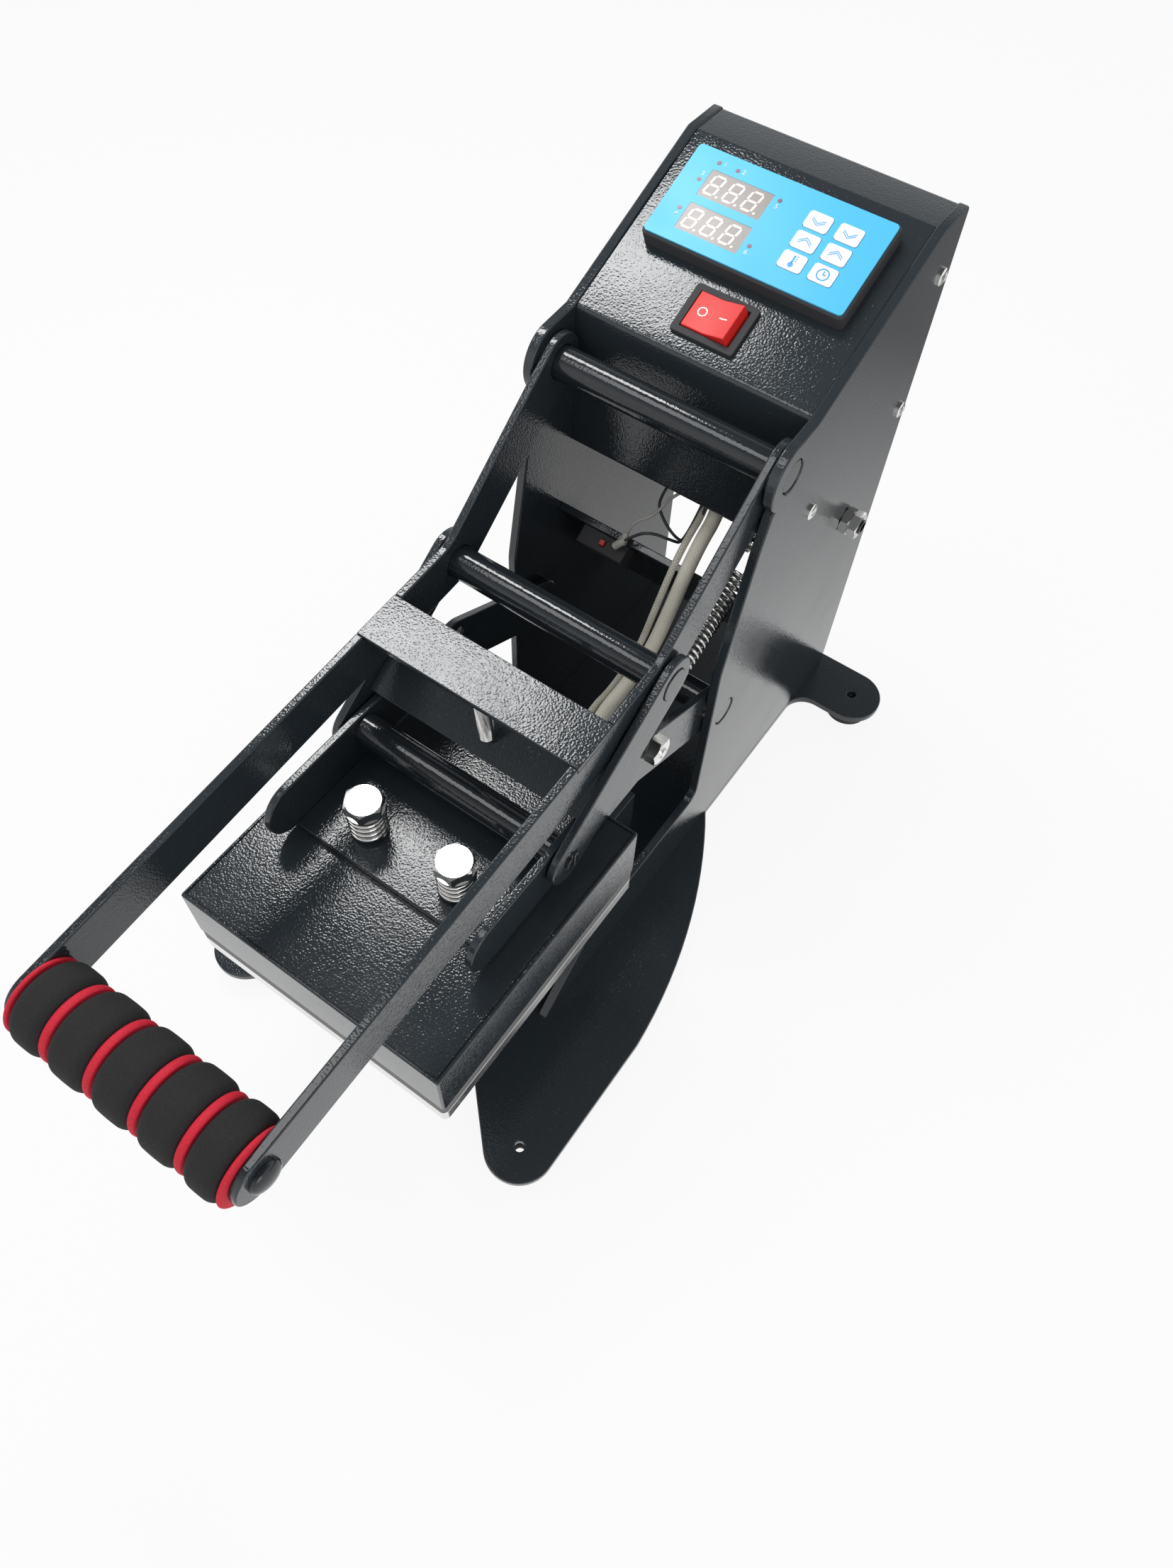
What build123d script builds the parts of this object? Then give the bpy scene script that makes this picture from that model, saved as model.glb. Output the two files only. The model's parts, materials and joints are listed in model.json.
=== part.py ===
from build123d import *
import os
from math import atan2, cos, degrees, hypot, pi, radians, sin

os.makedirs("parts", exist_ok=True)

# A small flat heat press, closed. X runs to the operator's right, Y to the back, Z up.
# The origin is on the table, under the middle of the press. All sizes are in millimetres.

# Clearances
running_gap = 0.05
fit_gap = 0.15
contact_gap = 0.3
side_play = 1.0

# Overall frame
overall_depth = 495.0
frame_width = 131.0
side_plate_t = 5.0
arm_t = 4.0
link_t = 4.0
rod_r = 8.0
rear_y = overall_depth / 2
plate_outer_x = frame_width / 2
inner_x = plate_outer_x - side_plate_t
arm_outer_x = inner_x - side_play
arm_inner_x = arm_outer_x - arm_t
link_outer_x = inner_x + link_t

# Base plate and feet
foot_h = 10.0
foot_r = 14.0
base_t = 5.0
lobe_r = 19.0
slant_r = 22.0
lobe_root_r = 14.0
bench_hole_r = 2.75
bench_span_x = 191.0
bench_span_y = 360.0
front_recess = 20.0
base_top = foot_h + base_t
bench_rear_y = rear_y - lobe_r
bench_front_y = bench_rear_y - bench_span_y

# Press head stack, from the base upwards
pedestal_h = 75.7
platen_size = 150.0
platen_t = 10.0
platen_corner_r = 3.0
pad_t = 8.0
cover_h = 36.0
cover_wall = 1.2
heater_t = 12.0
platen_z = base_top + pedestal_h
pad_z = platen_z + platen_t
heater_z = pad_z + pad_t + contact_gap
cover_top = heater_z + cover_h

# Pedestal under the lower platen
foot_plate_t = 4.0
top_plate_t = 6.0
cheek_t = 4.0
gusset_back = 18.0
gusset_drops = (8.0, 26.0, 42.0)
top_plate_lip = 6.0
foot_gap = 3.5
foot_ledge = 11.0
foot_bolt_edge = 5.2
foot_half = inner_x - foot_gap
cheek_x = foot_half - foot_ledge
top_half = cheek_x
pedestal_reach = 55.0
pedestal_depth = 67.0
arm_reach = 62.0
foot_bolt_x = foot_half - foot_bolt_edge
foot_bolt_r = 3.0
foot_nut_af = 9.0
foot_bolt_head_h = 4.0
foot_bolt_inset = 12.0
platen_bolt_edge = 8.0
platen_bolt_x = cheek_x - cheek_t - platen_bolt_edge
platen_bolt_y = 45.0
platen_bolt_bite = 6.0

# Pivots of the toggle linkage, each a point (y, z)
lever_pivot = (rear_y - 140.0, cover_top + 133.0)
knee_pivot = (lever_pivot[0] - 80.5, lever_pivot[1] - 61.0)
head_pivot = (knee_pivot[0] - 75.5, knee_pivot[1] - 49.0)
carriage_pivot = (rear_y - 157.5, cover_top - 18.0)
head_y = head_pivot[0] - 34.0
pedestal_front = head_y + pedestal_reach
pedestal_back = pedestal_front + pedestal_depth
arm_front = head_y - arm_reach
foot_bolts = [
    (x, y)
    for x in (-foot_bolt_x, foot_bolt_x)
    for y in (pedestal_front + foot_bolt_inset, pedestal_back - foot_bolt_inset)
]

# Base outline between the front lobes and the side plates
flare_y = head_y + 32.0
flare_middle = (bench_span_x / 2 + 5.5, head_y + 102.5)
waist_y = head_y + 179.5

# Side plates: a rear column, an ear round the lever pivot and a low toe
toe_h = 45.0
toe_corner = (head_y + 59.0, base_top + toe_h)
toe_corner_r = 14.0
toe_inner_r = 8.0
column_front = (carriage_pivot[0] - 14.5, cover_top + 27.0)
column_r = 40.0
neck = (lever_pivot[0] - 13.0, lever_pivot[1] - 14.5)
neck_foot = (neck[0] - 4.5, neck[1] - 16.0)
plate_corner_r = 3.0
washer_t = 0.8
washer_rim = 3.5
rod_recess = 0.5
rod_chamfer = 0.6

# Handle
grip_r = 18.5
grip_pitch = 23.1
grip_ring_w = 3.5
grip_ring_r = 17.2
grip_shoulder_r = 4.5
grip_segments = 5
grip_inset = 2.0
handle_bar_r = 11.0
grip_axis = (grip_r - overall_depth / 2, knee_pivot[1] - 18.0)
lever_w = 27.0
elbow_r = 18.0
elbow_inside = (knee_pivot[0] - 6.0, knee_pivot[1] + 16.0)
handle_screw_r = 4.0
handle_screw_depth = 18.0
handle_head_r = 7.5
handle_head_h = 4.2
handle_head_round = 3.2

# Stop plate across the lever arms and the stud that hangs from it
stop_plate_depth = 26.0
stop_plate_t = 3.0
stop_plate_back = 39.0
stop_stud_r = 4.0
stop_stud_x = 4.0
stop_stud_edge = 6.5
stop_stud_round = 1.5

# Links, carriage and head bracket
link_w = 27.0
link_plate_t = 4.0
link_plate_start = 17.5
link_plate_end = 44.5
link_plate_lift = 2.2
carriage_w = 30.0
carriage_rise = 18.0
carriage_reach = 50.5
carriage_elbow = 66.5
head_pin_r = 4.5
head_pin_slot = 1.4
head_pin_slot_depth = 1.2
head_pin_proud = 1.5
knee_pin_proud = 0.5
bracket_t = 4.0
bracket_depth = 52.0
bracket_back = 8.5
bracket_gap = 0.6

# Return spring between the right carriage arm and the right side plate
spring_bolt = (head_pivot[0] + 71.5, head_pivot[1] + 1.0)
spring_post = (lever_pivot[0] + 20.5, lever_pivot[1] - 70.0)
spring_pin_r = 3.0
spring_r = 5.5
spring_gap = 0.5
spring_x = arm_inner_x - spring_r - spring_gap
spring_wire_r = 0.85
spring_hook = 17.0
spring_head_x = spring_x - 4.0
spring_head_t = 1.5
spring_head_r = 5.0
spring_nut_af = 13.0
spring_nut_t = 6.5
spring_bolt_proud = 1.1

# Heater bolts and their springs
heater_bolt_x = 26.0
heater_bolt_r = 5.0
heater_bolt_bite = 8.5
bolt_head_af = 17.0
bolt_head_h = 6.5
float_spring_h = 18.4
float_spring_r = 9.2
bolt_washer_r = float_spring_r
bolt_washer_t = 1.5
float_wire_r = 1.1

# Heater cover details and the insulation inside
cover_corner_r = 1.2
cover_round = 1.0
groove_inset = 1.5
groove_w = 0.9
groove_depth = 0.8
insulation_inset = 4.0
insulation_air = 2.0

# Control box
panel_rise = 39.0
panel_run = 94.0
sheet_t = 1.5
bend_r = 3.0
box_drop = 61.0
flange_depth = 9.0
cheek_h = 26.0
roof_gap = 4.0
rear_inset = 6.0
panel_inset = 0.8
ear_r = 17.0
crease = (lever_pivot[0] + 16.0, lever_pivot[1] + 18.0)
bend = (crease[0] + panel_run, crease[1] + panel_rise)
box_floor = lever_pivot[1] - box_drop
rear_edge = rear_y - rear_inset
box_top = bend[1]
panel_angle = atan2(panel_rise, panel_run)
panel_normal = (-sin(panel_angle), cos(panel_angle))
panel_plane = Plane(
    origin=(0, crease[0] - panel_inset * panel_normal[0], crease[1] - panel_inset * panel_normal[1]),
    x_dir=(1, 0, 0),
    z_dir=(0, panel_normal[0], panel_normal[1]),
)
box_screw_r = 2.0
box_screw_head_r = 4.2
box_screw_head_h = 2.4
box_screw_round = 1.2
box_screw_reach = 2.5
box_screws = (
    (rear_edge - 11.0, bend[1] - 29.0),
    (rear_edge - 9.0, box_floor + 13.0),
    (crease[0] + 17.0, box_floor + 15.0),
)

# Cable gland in the back wall of the box
gland_x = -30.0
gland_rise = 40.0
gland_r = 8.0
gland_rim = 4.0
gland_rim_t = 4.0
gland_nose = 3.0
gland_depth = 12.0
gland_bore_r = 4.0

# Tie rod with two nuts at each end, and the inner brace between the side plates
tie_point = (rear_edge - 45.0, carriage_pivot[1] + 55.0)
tie_rod_r = 4.0
tie_sleeve_r = 6.0
tie_nut_af = 13.0
tie_nut_t = 5.0
tie_nut_turn = 14.0
tie_rod_proud = 1.0
brace_top = (carriage_pivot[0] + 24.0, carriage_pivot[1] + 52.0)
brace_angle = 57.5
brace_len = 100.0
brace_t = 4.0

# Limit switch on the brace
micro_x = -30.0
micro_w = 28.0
micro_h = 16.0
micro_t = 10.0
micro_drop = 2.0
micro_round = 0.8
micro_tab_w = 5.0
micro_tab_t = 0.8
micro_tab_len = 6.0
plunger_w = 3.0
plunger_len = 3.6
plunger_proud = 0.8

# Heater lead and sensor cable, from the box floor to the back of the heater
lead_r = 3.8
lead_x = 21.0
sensor_r = 1.8
sensor_x = 14.6
sensor_forward = 4.0
lead_top_y = crease[0] + 14.5
lead_end_z = heater_z + 18.0

# Temperature controller
controller_v = 65.9
bezel_w = 102.0
bezel_h = 50.0
bezel_t = 8.0
bezel_corner_r = 2.5
bezel_chamfer = 0.9
face_w = 100.0
face_h = 48.0
face_t = 0.8
face_corner_r = 2.0
case_w = 91.0
case_h = 43.0
case_depth = 50.0
key_w = 11.4
key_h = 8.6
key_t = 1.8
key_proud = 0.4
key_centre_x = 25.6
key_pitch_x = 15.0
key_pitch_v = 10.6
key_corner_r = 1.5
key_travel = 0.5
window_w = 31.8
window_h = 14.0
window_x = -21.8
window_vs = (7.6, -10.6)
lamp_r = 1.0
lamp_places = [
    (-36.7, 18.3),
    (-27.1, 18.3),
    (-40.6, 7.6),
    (-40.6, -8.1),
    (-2.4, 13.0),
    (-2.4, -11.8),
]

# Power switch
switch_v = 21.4
switch_w = 32.0
switch_h = 25.0
switch_rim_t = 2.0
switch_corner_r = 1.5
switch_body_w = 28.0
switch_body_h = 21.6
switch_body_depth = 22.0
switch_wall = 1.4
terminal_w = 0.8
terminal_h = 6.3
terminal_len = 8.0
terminal_places = [(x, v) for x in (-8.0, 8.0) for v in (-5.0, 5.0)]
rocker_pivot_depth = 2.5
rocker_r = 12.0
rocker_tilt = 8.0
rocker_pin_r = 1.5


def block(x, y, z, mode=Mode.ADD):
    """Add a box that fills three ranges (low, high)."""
    centre = ((x[0] + x[1]) / 2, (y[0] + y[1]) / 2, (z[0] + z[1]) / 2)
    with Locations(centre):
        Box(x[1] - x[0], y[1] - y[0], z[1] - z[0], mode=mode)


def cross_rod(point, x0, x1, radius, mode=Mode.ADD):
    """Add a round rod along X through a point (y, z)."""
    with BuildSketch(Plane.YZ.offset(x0)) as section:
        with Locations(point):
            Circle(radius)
    extrude(section.sketch, amount=x1 - x0, mode=mode)


def cross_hex(point, x0, x1, across_flats, turn=0.0):
    """Add a hexagonal prism along X through a point (y, z)."""
    with BuildSketch(Plane.YZ.offset(x0)) as section:
        with Locations(point):
            RegularPolygon(across_flats / 2, 6, major_radius=False, rotation=turn)
    extrude(section.sketch, amount=x1 - x0)


def bar(path, width):
    """Sketch a flat bar with round ends along points (y, z)."""
    for start, end in zip(path, path[1:]):
        run = (end[0] - start[0], end[1] - start[1])
        with Locations(((start[0] + end[0]) / 2, (start[1] + end[1]) / 2)):
            SlotCenterToCenter(hypot(*run), width, rotation=degrees(atan2(run[1], run[0])))


def nearest(vertices, point):
    """Pick the sketch corner that lies nearest to a point."""
    return sorted(vertices, key=lambda v: hypot(v.X - point[0], v.Y - point[1]))[0]


def along(origin, direction, distance, lift=0.0):
    """Point (y, z) at a distance along a unit direction, lifted square to it."""
    return (
        origin[0] + direction[0] * distance - direction[1] * lift,
        origin[1] + direction[1] * distance + direction[0] * lift,
    )


def unit(start, end):
    """Unit direction (y, z) from one point to another."""
    run = (end[0] - start[0], end[1] - start[1])
    return (run[0] / hypot(*run), run[1] / hypot(*run))


def lead_opening(level):
    """Sketch the holes for the heater lead and the sensor cable, joined by a slit."""
    with Locations((lead_x, level)):
        Circle(lead_r + fit_gap)
    with Locations((sensor_x, level)):
        Circle(sensor_r + fit_gap)
    with Locations(((lead_x + sensor_x) / 2, level)):
        Rectangle(abs(lead_x - sensor_x), 2 * sensor_r)


def save(part, name):
    """Label a finished piece and write it."""
    part.label = name
    export_step(part, f"parts/{name}.step")


sides = (("left", -1), ("right", 1))

# Base plate: two front lobes, a waist between the side plates and two rear lobes
hole_x = bench_span_x / 2
front_edge = bench_front_y + front_recess
slant = lobe_r * cos(radians(45))
lobe_touch = (hole_x - slant, bench_front_y - slant)
slant_top = (lobe_touch[0] - front_edge + lobe_touch[1], front_edge)
waist = (plate_outer_x, waist_y)
lobe_root = (plate_outer_x, bench_rear_y - lobe_r)
with BuildPart() as base_plate:
    with BuildSketch(Plane.XY.offset(foot_h)) as outline:
        with BuildLine():
            Polyline(
                (0, rear_y),
                (0, front_edge),
                slant_top,
                lobe_touch,
                (hole_x, bench_front_y),
                (hole_x + lobe_r, bench_front_y),
                (hole_x + lobe_r, flare_y),
            )
            ThreePointArc((hole_x + lobe_r, flare_y), flare_middle, waist)
            Polyline(
                waist, lobe_root, (hole_x, bench_rear_y - lobe_r), (hole_x, rear_y), (0, rear_y)
            )
        make_face()
        with Locations((hole_x, bench_front_y), (hole_x, bench_rear_y)):
            Circle(lobe_r)
        fillet(nearest(outline.vertices(), lobe_root), lobe_root_r)
        fillet(nearest(outline.vertices(), slant_top), slant_r)
        mirror(about=Plane.YZ)
        with Locations((0, (bench_front_y + bench_rear_y) / 2)):
            with GridLocations(bench_span_x, bench_span_y, 2, 2):
                Circle(bench_hole_r, mode=Mode.SUBTRACT)
    extrude(amount=base_t)
    with BuildSketch(Plane.XY.offset(foot_h)):
        with Locations(*foot_bolts):
            Circle(foot_bolt_r + fit_gap)
    extrude(amount=base_t, mode=Mode.SUBTRACT)
save(base_plate.part, "base_plate")

# Rubber feet with a bench screw hole through each
with BuildPart() as rubber_feet:
    with BuildSketch():
        with Locations((0, (bench_front_y + bench_rear_y) / 2)):
            with GridLocations(bench_span_x, bench_span_y, 2, 2):
                Circle(foot_r)
                Circle(bench_hole_r, mode=Mode.SUBTRACT)
    extrude(amount=foot_h, taper=4)
save(rubber_feet.part, "rubber_feet")

# Side plates
toe_inner = (column_front[0], toe_corner[1])
for side, hand in sides:
    with BuildPart() as side_plate:
        with BuildSketch(Plane.YZ.offset(min(hand * inner_x, hand * plate_outer_x))) as outline:
            with BuildLine():
                Polyline(
                    (rear_edge, base_top),
                    (rear_edge, box_top),
                    bend,
                    crease,
                    (lever_pivot[0], lever_pivot[1] + ear_r),
                    lever_pivot,
                    neck,
                    neck_foot,
                    column_front,
                    toe_inner,
                    toe_corner,
                    (toe_corner[0] - toe_h, base_top),
                    (rear_edge, base_top),
                )
            make_face()
            with Locations(lever_pivot):
                Circle(ear_r)
            fillet(nearest(outline.vertices(), toe_inner), toe_inner_r)
            fillet(nearest(outline.vertices(), toe_corner), toe_corner_r)
            fillet(nearest(outline.vertices(), column_front), column_r)
            fillet(nearest(outline.vertices(), (rear_edge, box_top)), plate_corner_r)
            with Locations(lever_pivot, carriage_pivot):
                Circle(rod_r + running_gap, mode=Mode.SUBTRACT)
            with Locations(tie_point):
                Circle(tie_rod_r + fit_gap, mode=Mode.SUBTRACT)
            with Locations(*box_screws):
                Circle(box_screw_r + fit_gap, mode=Mode.SUBTRACT)
        extrude(amount=side_plate_t)
        save(side_plate.part, f"side_plate_{side}")

# Thin washers that hold the side play at the two frame pivots
with BuildPart() as pivot_washers:
    for side, hand in sides:
        for pivot in (lever_pivot, carriage_pivot):
            middle = hand * (arm_outer_x + side_play / 2)
            faces_x = (middle - washer_t / 2, middle + washer_t / 2)
            cross_rod(pivot, *faces_x, rod_r + washer_rim)
            cross_rod(pivot, *faces_x, rod_r + running_gap, mode=Mode.SUBTRACT)
save(pivot_washers.part, "pivot_washers")

# Control box front: floor flange, lip, sloping panel, top and rear flange in one bent sheet
shell_x = inner_x
shell_top = box_top - panel_inset
shell_lip = crease[0] + panel_inset
shell_crease = (shell_lip, panel_plane.origin.Z + (shell_lip - panel_plane.origin.Y) * panel_rise / panel_run)
shell_bend = (
    panel_plane.origin.Y + (shell_top - panel_plane.origin.Z) * panel_run / panel_rise,
    shell_top,
)
with BuildPart() as box_shell:
    with BuildSketch(Plane.YZ.offset(-shell_x)):
        with BuildLine() as fold:
            FilletPolyline(
                (shell_lip + flange_depth, box_floor),
                (shell_lip, box_floor),
                shell_crease,
                shell_bend,
                (rear_edge, shell_top),
                (rear_edge, shell_top - flange_depth),
                radius=bend_r,
            )
            offset(amount=sheet_t, side=Side.RIGHT)
        make_face()
    extrude(amount=2 * shell_x)
    with BuildSketch(panel_plane.offset(sheet_t)):
        with Locations((0, controller_v)):
            Rectangle(case_w + 2 * fit_gap, case_h + 2 * fit_gap)
        with Locations((0, switch_v)):
            Rectangle(switch_body_w + 2 * fit_gap, switch_body_h + 2 * fit_gap)
    extrude(amount=-3 * sheet_t, mode=Mode.SUBTRACT)
save(box_shell.part, "box_shell")

# Control box rear: floor, back wall and two side flanges that take the box screws
cover_x = shell_x - fit_gap
cover_floor = box_floor + sheet_t + fit_gap
cover_back = rear_edge - sheet_t - fit_gap
cover_front = shell_lip + bend_r + fit_gap
cover_roof = shell_top - sheet_t - roof_gap
gland_point = (gland_x, cover_floor + gland_rise)
with BuildPart() as rear_cover:
    block((-cover_x, cover_x), (cover_front, cover_back), (cover_floor, cover_floor + sheet_t))
    block((-cover_x, cover_x), (cover_back - sheet_t, cover_back), (cover_floor, cover_roof))
    for side, hand in sides:
        cheek = sorted((hand * cover_x, hand * (cover_x - sheet_t)))
        block(cheek, (cover_front, cover_back), (cover_floor, cover_floor + cheek_h))
        block(cheek, (cover_back - cheek_h, cover_back), (cover_floor, cover_roof))
    for point in box_screws:
        cross_rod(point, -cover_x - 1, cover_x + 1, box_screw_r + running_gap, mode=Mode.SUBTRACT)
    with BuildSketch(Plane.XZ.offset(-cover_back - 1)):
        with Locations(gland_point):
            Circle(gland_r + fit_gap)
    extrude(amount=sheet_t + 2, mode=Mode.SUBTRACT)
    with BuildSketch(Plane.XY.offset(cover_floor - 1)):
        lead_opening(lead_top_y)
    extrude(amount=sheet_t + 2, mode=Mode.SUBTRACT)
save(rear_cover.part, "rear_cover")

# Pan-head screws that hold the box between the side plates
with BuildPart() as box_screw_set:
    for point in box_screws:
        for side, hand in sides:
            shank = sorted((hand * (cover_x - sheet_t - box_screw_reach), hand * plate_outer_x))
            head = sorted((hand * plate_outer_x, hand * (plate_outer_x + box_screw_head_h)))
            cross_rod(point, *shank, box_screw_r)
            cross_rod(point, *head, box_screw_head_r)
    rims = [
        edge
        for edge in box_screw_set.edges().filter_by(GeomType.CIRCLE)
        if abs(edge.center().X) > plate_outer_x + box_screw_head_h - fit_gap
    ]
    fillet(rims, box_screw_round)
save(box_screw_set.part, "box_screws")

# Cable gland in the back wall
with BuildPart() as cord_gland:
    with BuildSketch(Plane.XZ.offset(-cover_back)):
        with Locations(gland_point):
            Circle(gland_r + gland_rim)
    extrude(amount=-gland_rim_t)
    gland_outside = cover_back + gland_rim_t + gland_nose
    with BuildSketch(Plane.XZ.offset(-gland_outside)):
        with Locations(gland_point):
            Circle(gland_r)
    extrude(amount=gland_rim_t + gland_nose + gland_depth)
    with BuildSketch(Plane.XZ.offset(-gland_outside)):
        with Locations(gland_point):
            Circle(gland_bore_r)
    extrude(amount=gland_rim_t + gland_nose + gland_depth, mode=Mode.SUBTRACT)
save(cord_gland.part, "cord_gland")

# Tie rod with a thick middle and two nuts outside each side plate
with BuildPart() as tie_rod:
    cross_rod(tie_point, -inner_x, inner_x, tie_sleeve_r)
    tie_end = plate_outer_x + 2 * tie_nut_t + tie_rod_proud
    cross_rod(tie_point, -tie_end, tie_end, tie_rod_r)
save(tie_rod.part, "tie_rod")

with BuildPart() as tie_nuts:
    for side, hand in sides:
        seats = [plate_outer_x + index * tie_nut_t for index in range(3)]
        cross_hex(tie_point, *sorted((hand * seats[0], hand * seats[1])), tie_nut_af)
        cross_hex(tie_point, *sorted((hand * seats[1], hand * seats[2])), tie_nut_af, tie_nut_turn)
        bore = sorted((hand * seats[0], hand * seats[2]))
        cross_rod(tie_point, *bore, tie_rod_r + running_gap, mode=Mode.SUBTRACT)
save(tie_nuts.part, "tie_nuts")

# Inner brace, a leaning plate between the side plates that carries the limit switch
brace_dir = (cos(radians(brace_angle)), -sin(radians(brace_angle)))
brace_foot = along(brace_top, brace_dir, brace_len)
with BuildPart() as inner_brace:
    with BuildSketch(Plane.YZ.offset(-inner_x)):
        with BuildLine():
            Polyline(
                brace_top,
                brace_foot,
                along(brace_foot, brace_dir, 0, brace_t),
                along(brace_top, brace_dir, 0, brace_t),
                close=True,
            )
        make_face()
    extrude(amount=2 * inner_x)
save(inner_brace.part, "inner_brace")

# Limit switch on the front of the brace, with its red plunger
brace_plane = Plane(
    origin=(micro_x, brace_top[0], brace_top[1]),
    x_dir=(1, 0, 0),
    z_dir=(0, -brace_dir[0], -brace_dir[1]),
)
with BuildPart() as limit_switch:
    with BuildSketch(brace_plane.offset(-micro_h - micro_drop)):
        with Locations((0, -micro_t / 2)):
            Rectangle(micro_w, micro_t)
    extrude(amount=micro_h)
    fillet(limit_switch.edges().filter_by(Axis.X), micro_round)
    with BuildSketch(brace_plane.offset(-micro_h - micro_drop)):
        with Locations((-micro_w / 4, -micro_t / 2), (micro_w / 4, -micro_t / 2)):
            Rectangle(micro_tab_w, micro_tab_t)
    extrude(amount=-micro_tab_len)
    with BuildSketch(brace_plane.offset(-micro_drop - plunger_len)):
        with Locations((0, -micro_t / 2)):
            Rectangle(plunger_w + 2 * fit_gap, plunger_w + 2 * fit_gap)
    extrude(amount=plunger_len, mode=Mode.SUBTRACT)
save(limit_switch.part, "limit_switch")

with BuildPart() as limit_plunger:
    with BuildSketch(brace_plane.offset(plunger_proud - micro_drop - plunger_len)):
        with Locations((0, -micro_t / 2)):
            Rectangle(plunger_w, plunger_w)
    extrude(amount=plunger_len + plunger_proud)
save(limit_plunger.part, "limit_plunger")

# Pedestal: foot plate, two cheeks with forward arms, rear web and top plate
gusset_levels = [platen_z - top_plate_t - drop for drop in gusset_drops]
with BuildPart() as pedestal:
    block(
        (-foot_half, foot_half), (pedestal_front, pedestal_back), (base_top, base_top + foot_plate_t)
    )
    for side, hand in sides:
        with BuildSketch(Plane.YZ.offset(min(hand * cheek_x, hand * (cheek_x - cheek_t)))):
            with BuildLine():
                Polyline(
                    (pedestal_front, base_top),
                    (pedestal_back, base_top),
                    (pedestal_back, platen_z),
                    (arm_front, platen_z),
                    (arm_front, gusset_levels[0]),
                    (pedestal_front - gusset_back, gusset_levels[1]),
                    (pedestal_front, gusset_levels[2]),
                    close=True,
                )
            make_face()
        extrude(amount=cheek_t)
    block((-cheek_x, cheek_x), (pedestal_back - cheek_t, pedestal_back), (base_top, platen_z))
    lip_y = arm_front - top_plate_lip
    block((-top_half, top_half), (lip_y, pedestal_back), (platen_z - top_plate_t, platen_z))
    with BuildSketch(Plane.XY.offset(base_top)):
        with Locations(*foot_bolts):
            Circle(foot_bolt_r + fit_gap)
    extrude(amount=foot_plate_t, mode=Mode.SUBTRACT)
    with BuildSketch(Plane.XY.offset(platen_z)):
        with Locations((0, head_y)):
            with GridLocations(2 * platen_bolt_x, 2 * platen_bolt_y, 2, 2):
                Circle(foot_bolt_r + fit_gap)
    extrude(amount=-top_plate_t, mode=Mode.SUBTRACT)
save(pedestal.part, "pedestal")

# Bolts of the pedestal foot and of the lower platen, one group
with BuildPart() as pedestal_bolts:
    with BuildSketch(Plane.XY.offset(base_top + foot_plate_t)):
        with Locations(*foot_bolts):
            RegularPolygon(foot_nut_af / 2, 6, major_radius=False)
    extrude(amount=foot_bolt_head_h)
    with BuildSketch(Plane.XY.offset(foot_h)):
        with Locations(*foot_bolts):
            Circle(foot_bolt_r)
    extrude(amount=base_t + foot_plate_t)
    with BuildSketch(Plane.XY.offset(platen_z - top_plate_t)):
        with Locations((0, head_y)):
            with GridLocations(2 * platen_bolt_x, 2 * platen_bolt_y, 2, 2):
                RegularPolygon(foot_nut_af / 2, 6, major_radius=False)
    extrude(amount=-foot_bolt_head_h)
    with BuildSketch(Plane.XY.offset(platen_z - top_plate_t)):
        with Locations((0, head_y)):
            with GridLocations(2 * platen_bolt_x, 2 * platen_bolt_y, 2, 2):
                Circle(foot_bolt_r)
    extrude(amount=top_plate_t + platen_bolt_bite)
save(pedestal_bolts.part, "pedestal_bolts")

# Lower platen and its silicone pad
with BuildPart() as lower_platen:
    with BuildSketch(Plane.XY.offset(platen_z)):
        with Locations((0, head_y)):
            RectangleRounded(platen_size, platen_size, platen_corner_r)
    extrude(amount=platen_t)
    chamfer(lower_platen.faces().sort_by(Axis.Z)[0].edges(), 1.0)
    with BuildSketch(Plane.XY.offset(platen_z)):
        with Locations((0, head_y)):
            with GridLocations(2 * platen_bolt_x, 2 * platen_bolt_y, 2, 2):
                Circle(foot_bolt_r + running_gap)
    extrude(amount=platen_bolt_bite + contact_gap, mode=Mode.SUBTRACT)
save(lower_platen.part, "lower_platen")

with BuildPart() as silicone_pad:
    with BuildSketch(Plane.XY.offset(pad_z)):
        with Locations((0, head_y)):
            RectangleRounded(platen_size, platen_size, platen_corner_r)
    extrude(amount=pad_t)
save(silicone_pad.part, "silicone_pad")

# Lever arms: one bent bar each side, notched for the stop plate
handle_dir = unit(grip_axis, knee_pivot)
stop_far = -(stop_plate_back + stop_plate_depth)
for side, hand in sides:
    with BuildPart() as lever_arm:
        with BuildSketch(Plane.YZ.offset(min(hand * arm_inner_x, hand * arm_outer_x))) as outline:
            bar((lever_pivot, knee_pivot, grip_axis), lever_w)
            fillet(nearest(outline.vertices(), elbow_inside), elbow_r)
            with Locations(lever_pivot, knee_pivot):
                Circle(rod_r + running_gap, mode=Mode.SUBTRACT)
            with Locations(grip_axis):
                Circle(handle_screw_r + fit_gap, mode=Mode.SUBTRACT)
            with BuildLine():
                Polyline(
                    along(knee_pivot, handle_dir, -stop_plate_back, lever_w / 2 - stop_plate_t),
                    along(knee_pivot, handle_dir, -stop_plate_back, lever_w),
                    along(knee_pivot, handle_dir, stop_far, lever_w),
                    along(knee_pivot, handle_dir, stop_far, lever_w / 2 - stop_plate_t),
                    close=True,
                )
            make_face(mode=Mode.SUBTRACT)
        extrude(amount=arm_t)
    save(lever_arm.part, f"lever_arm_{side}")

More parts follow.
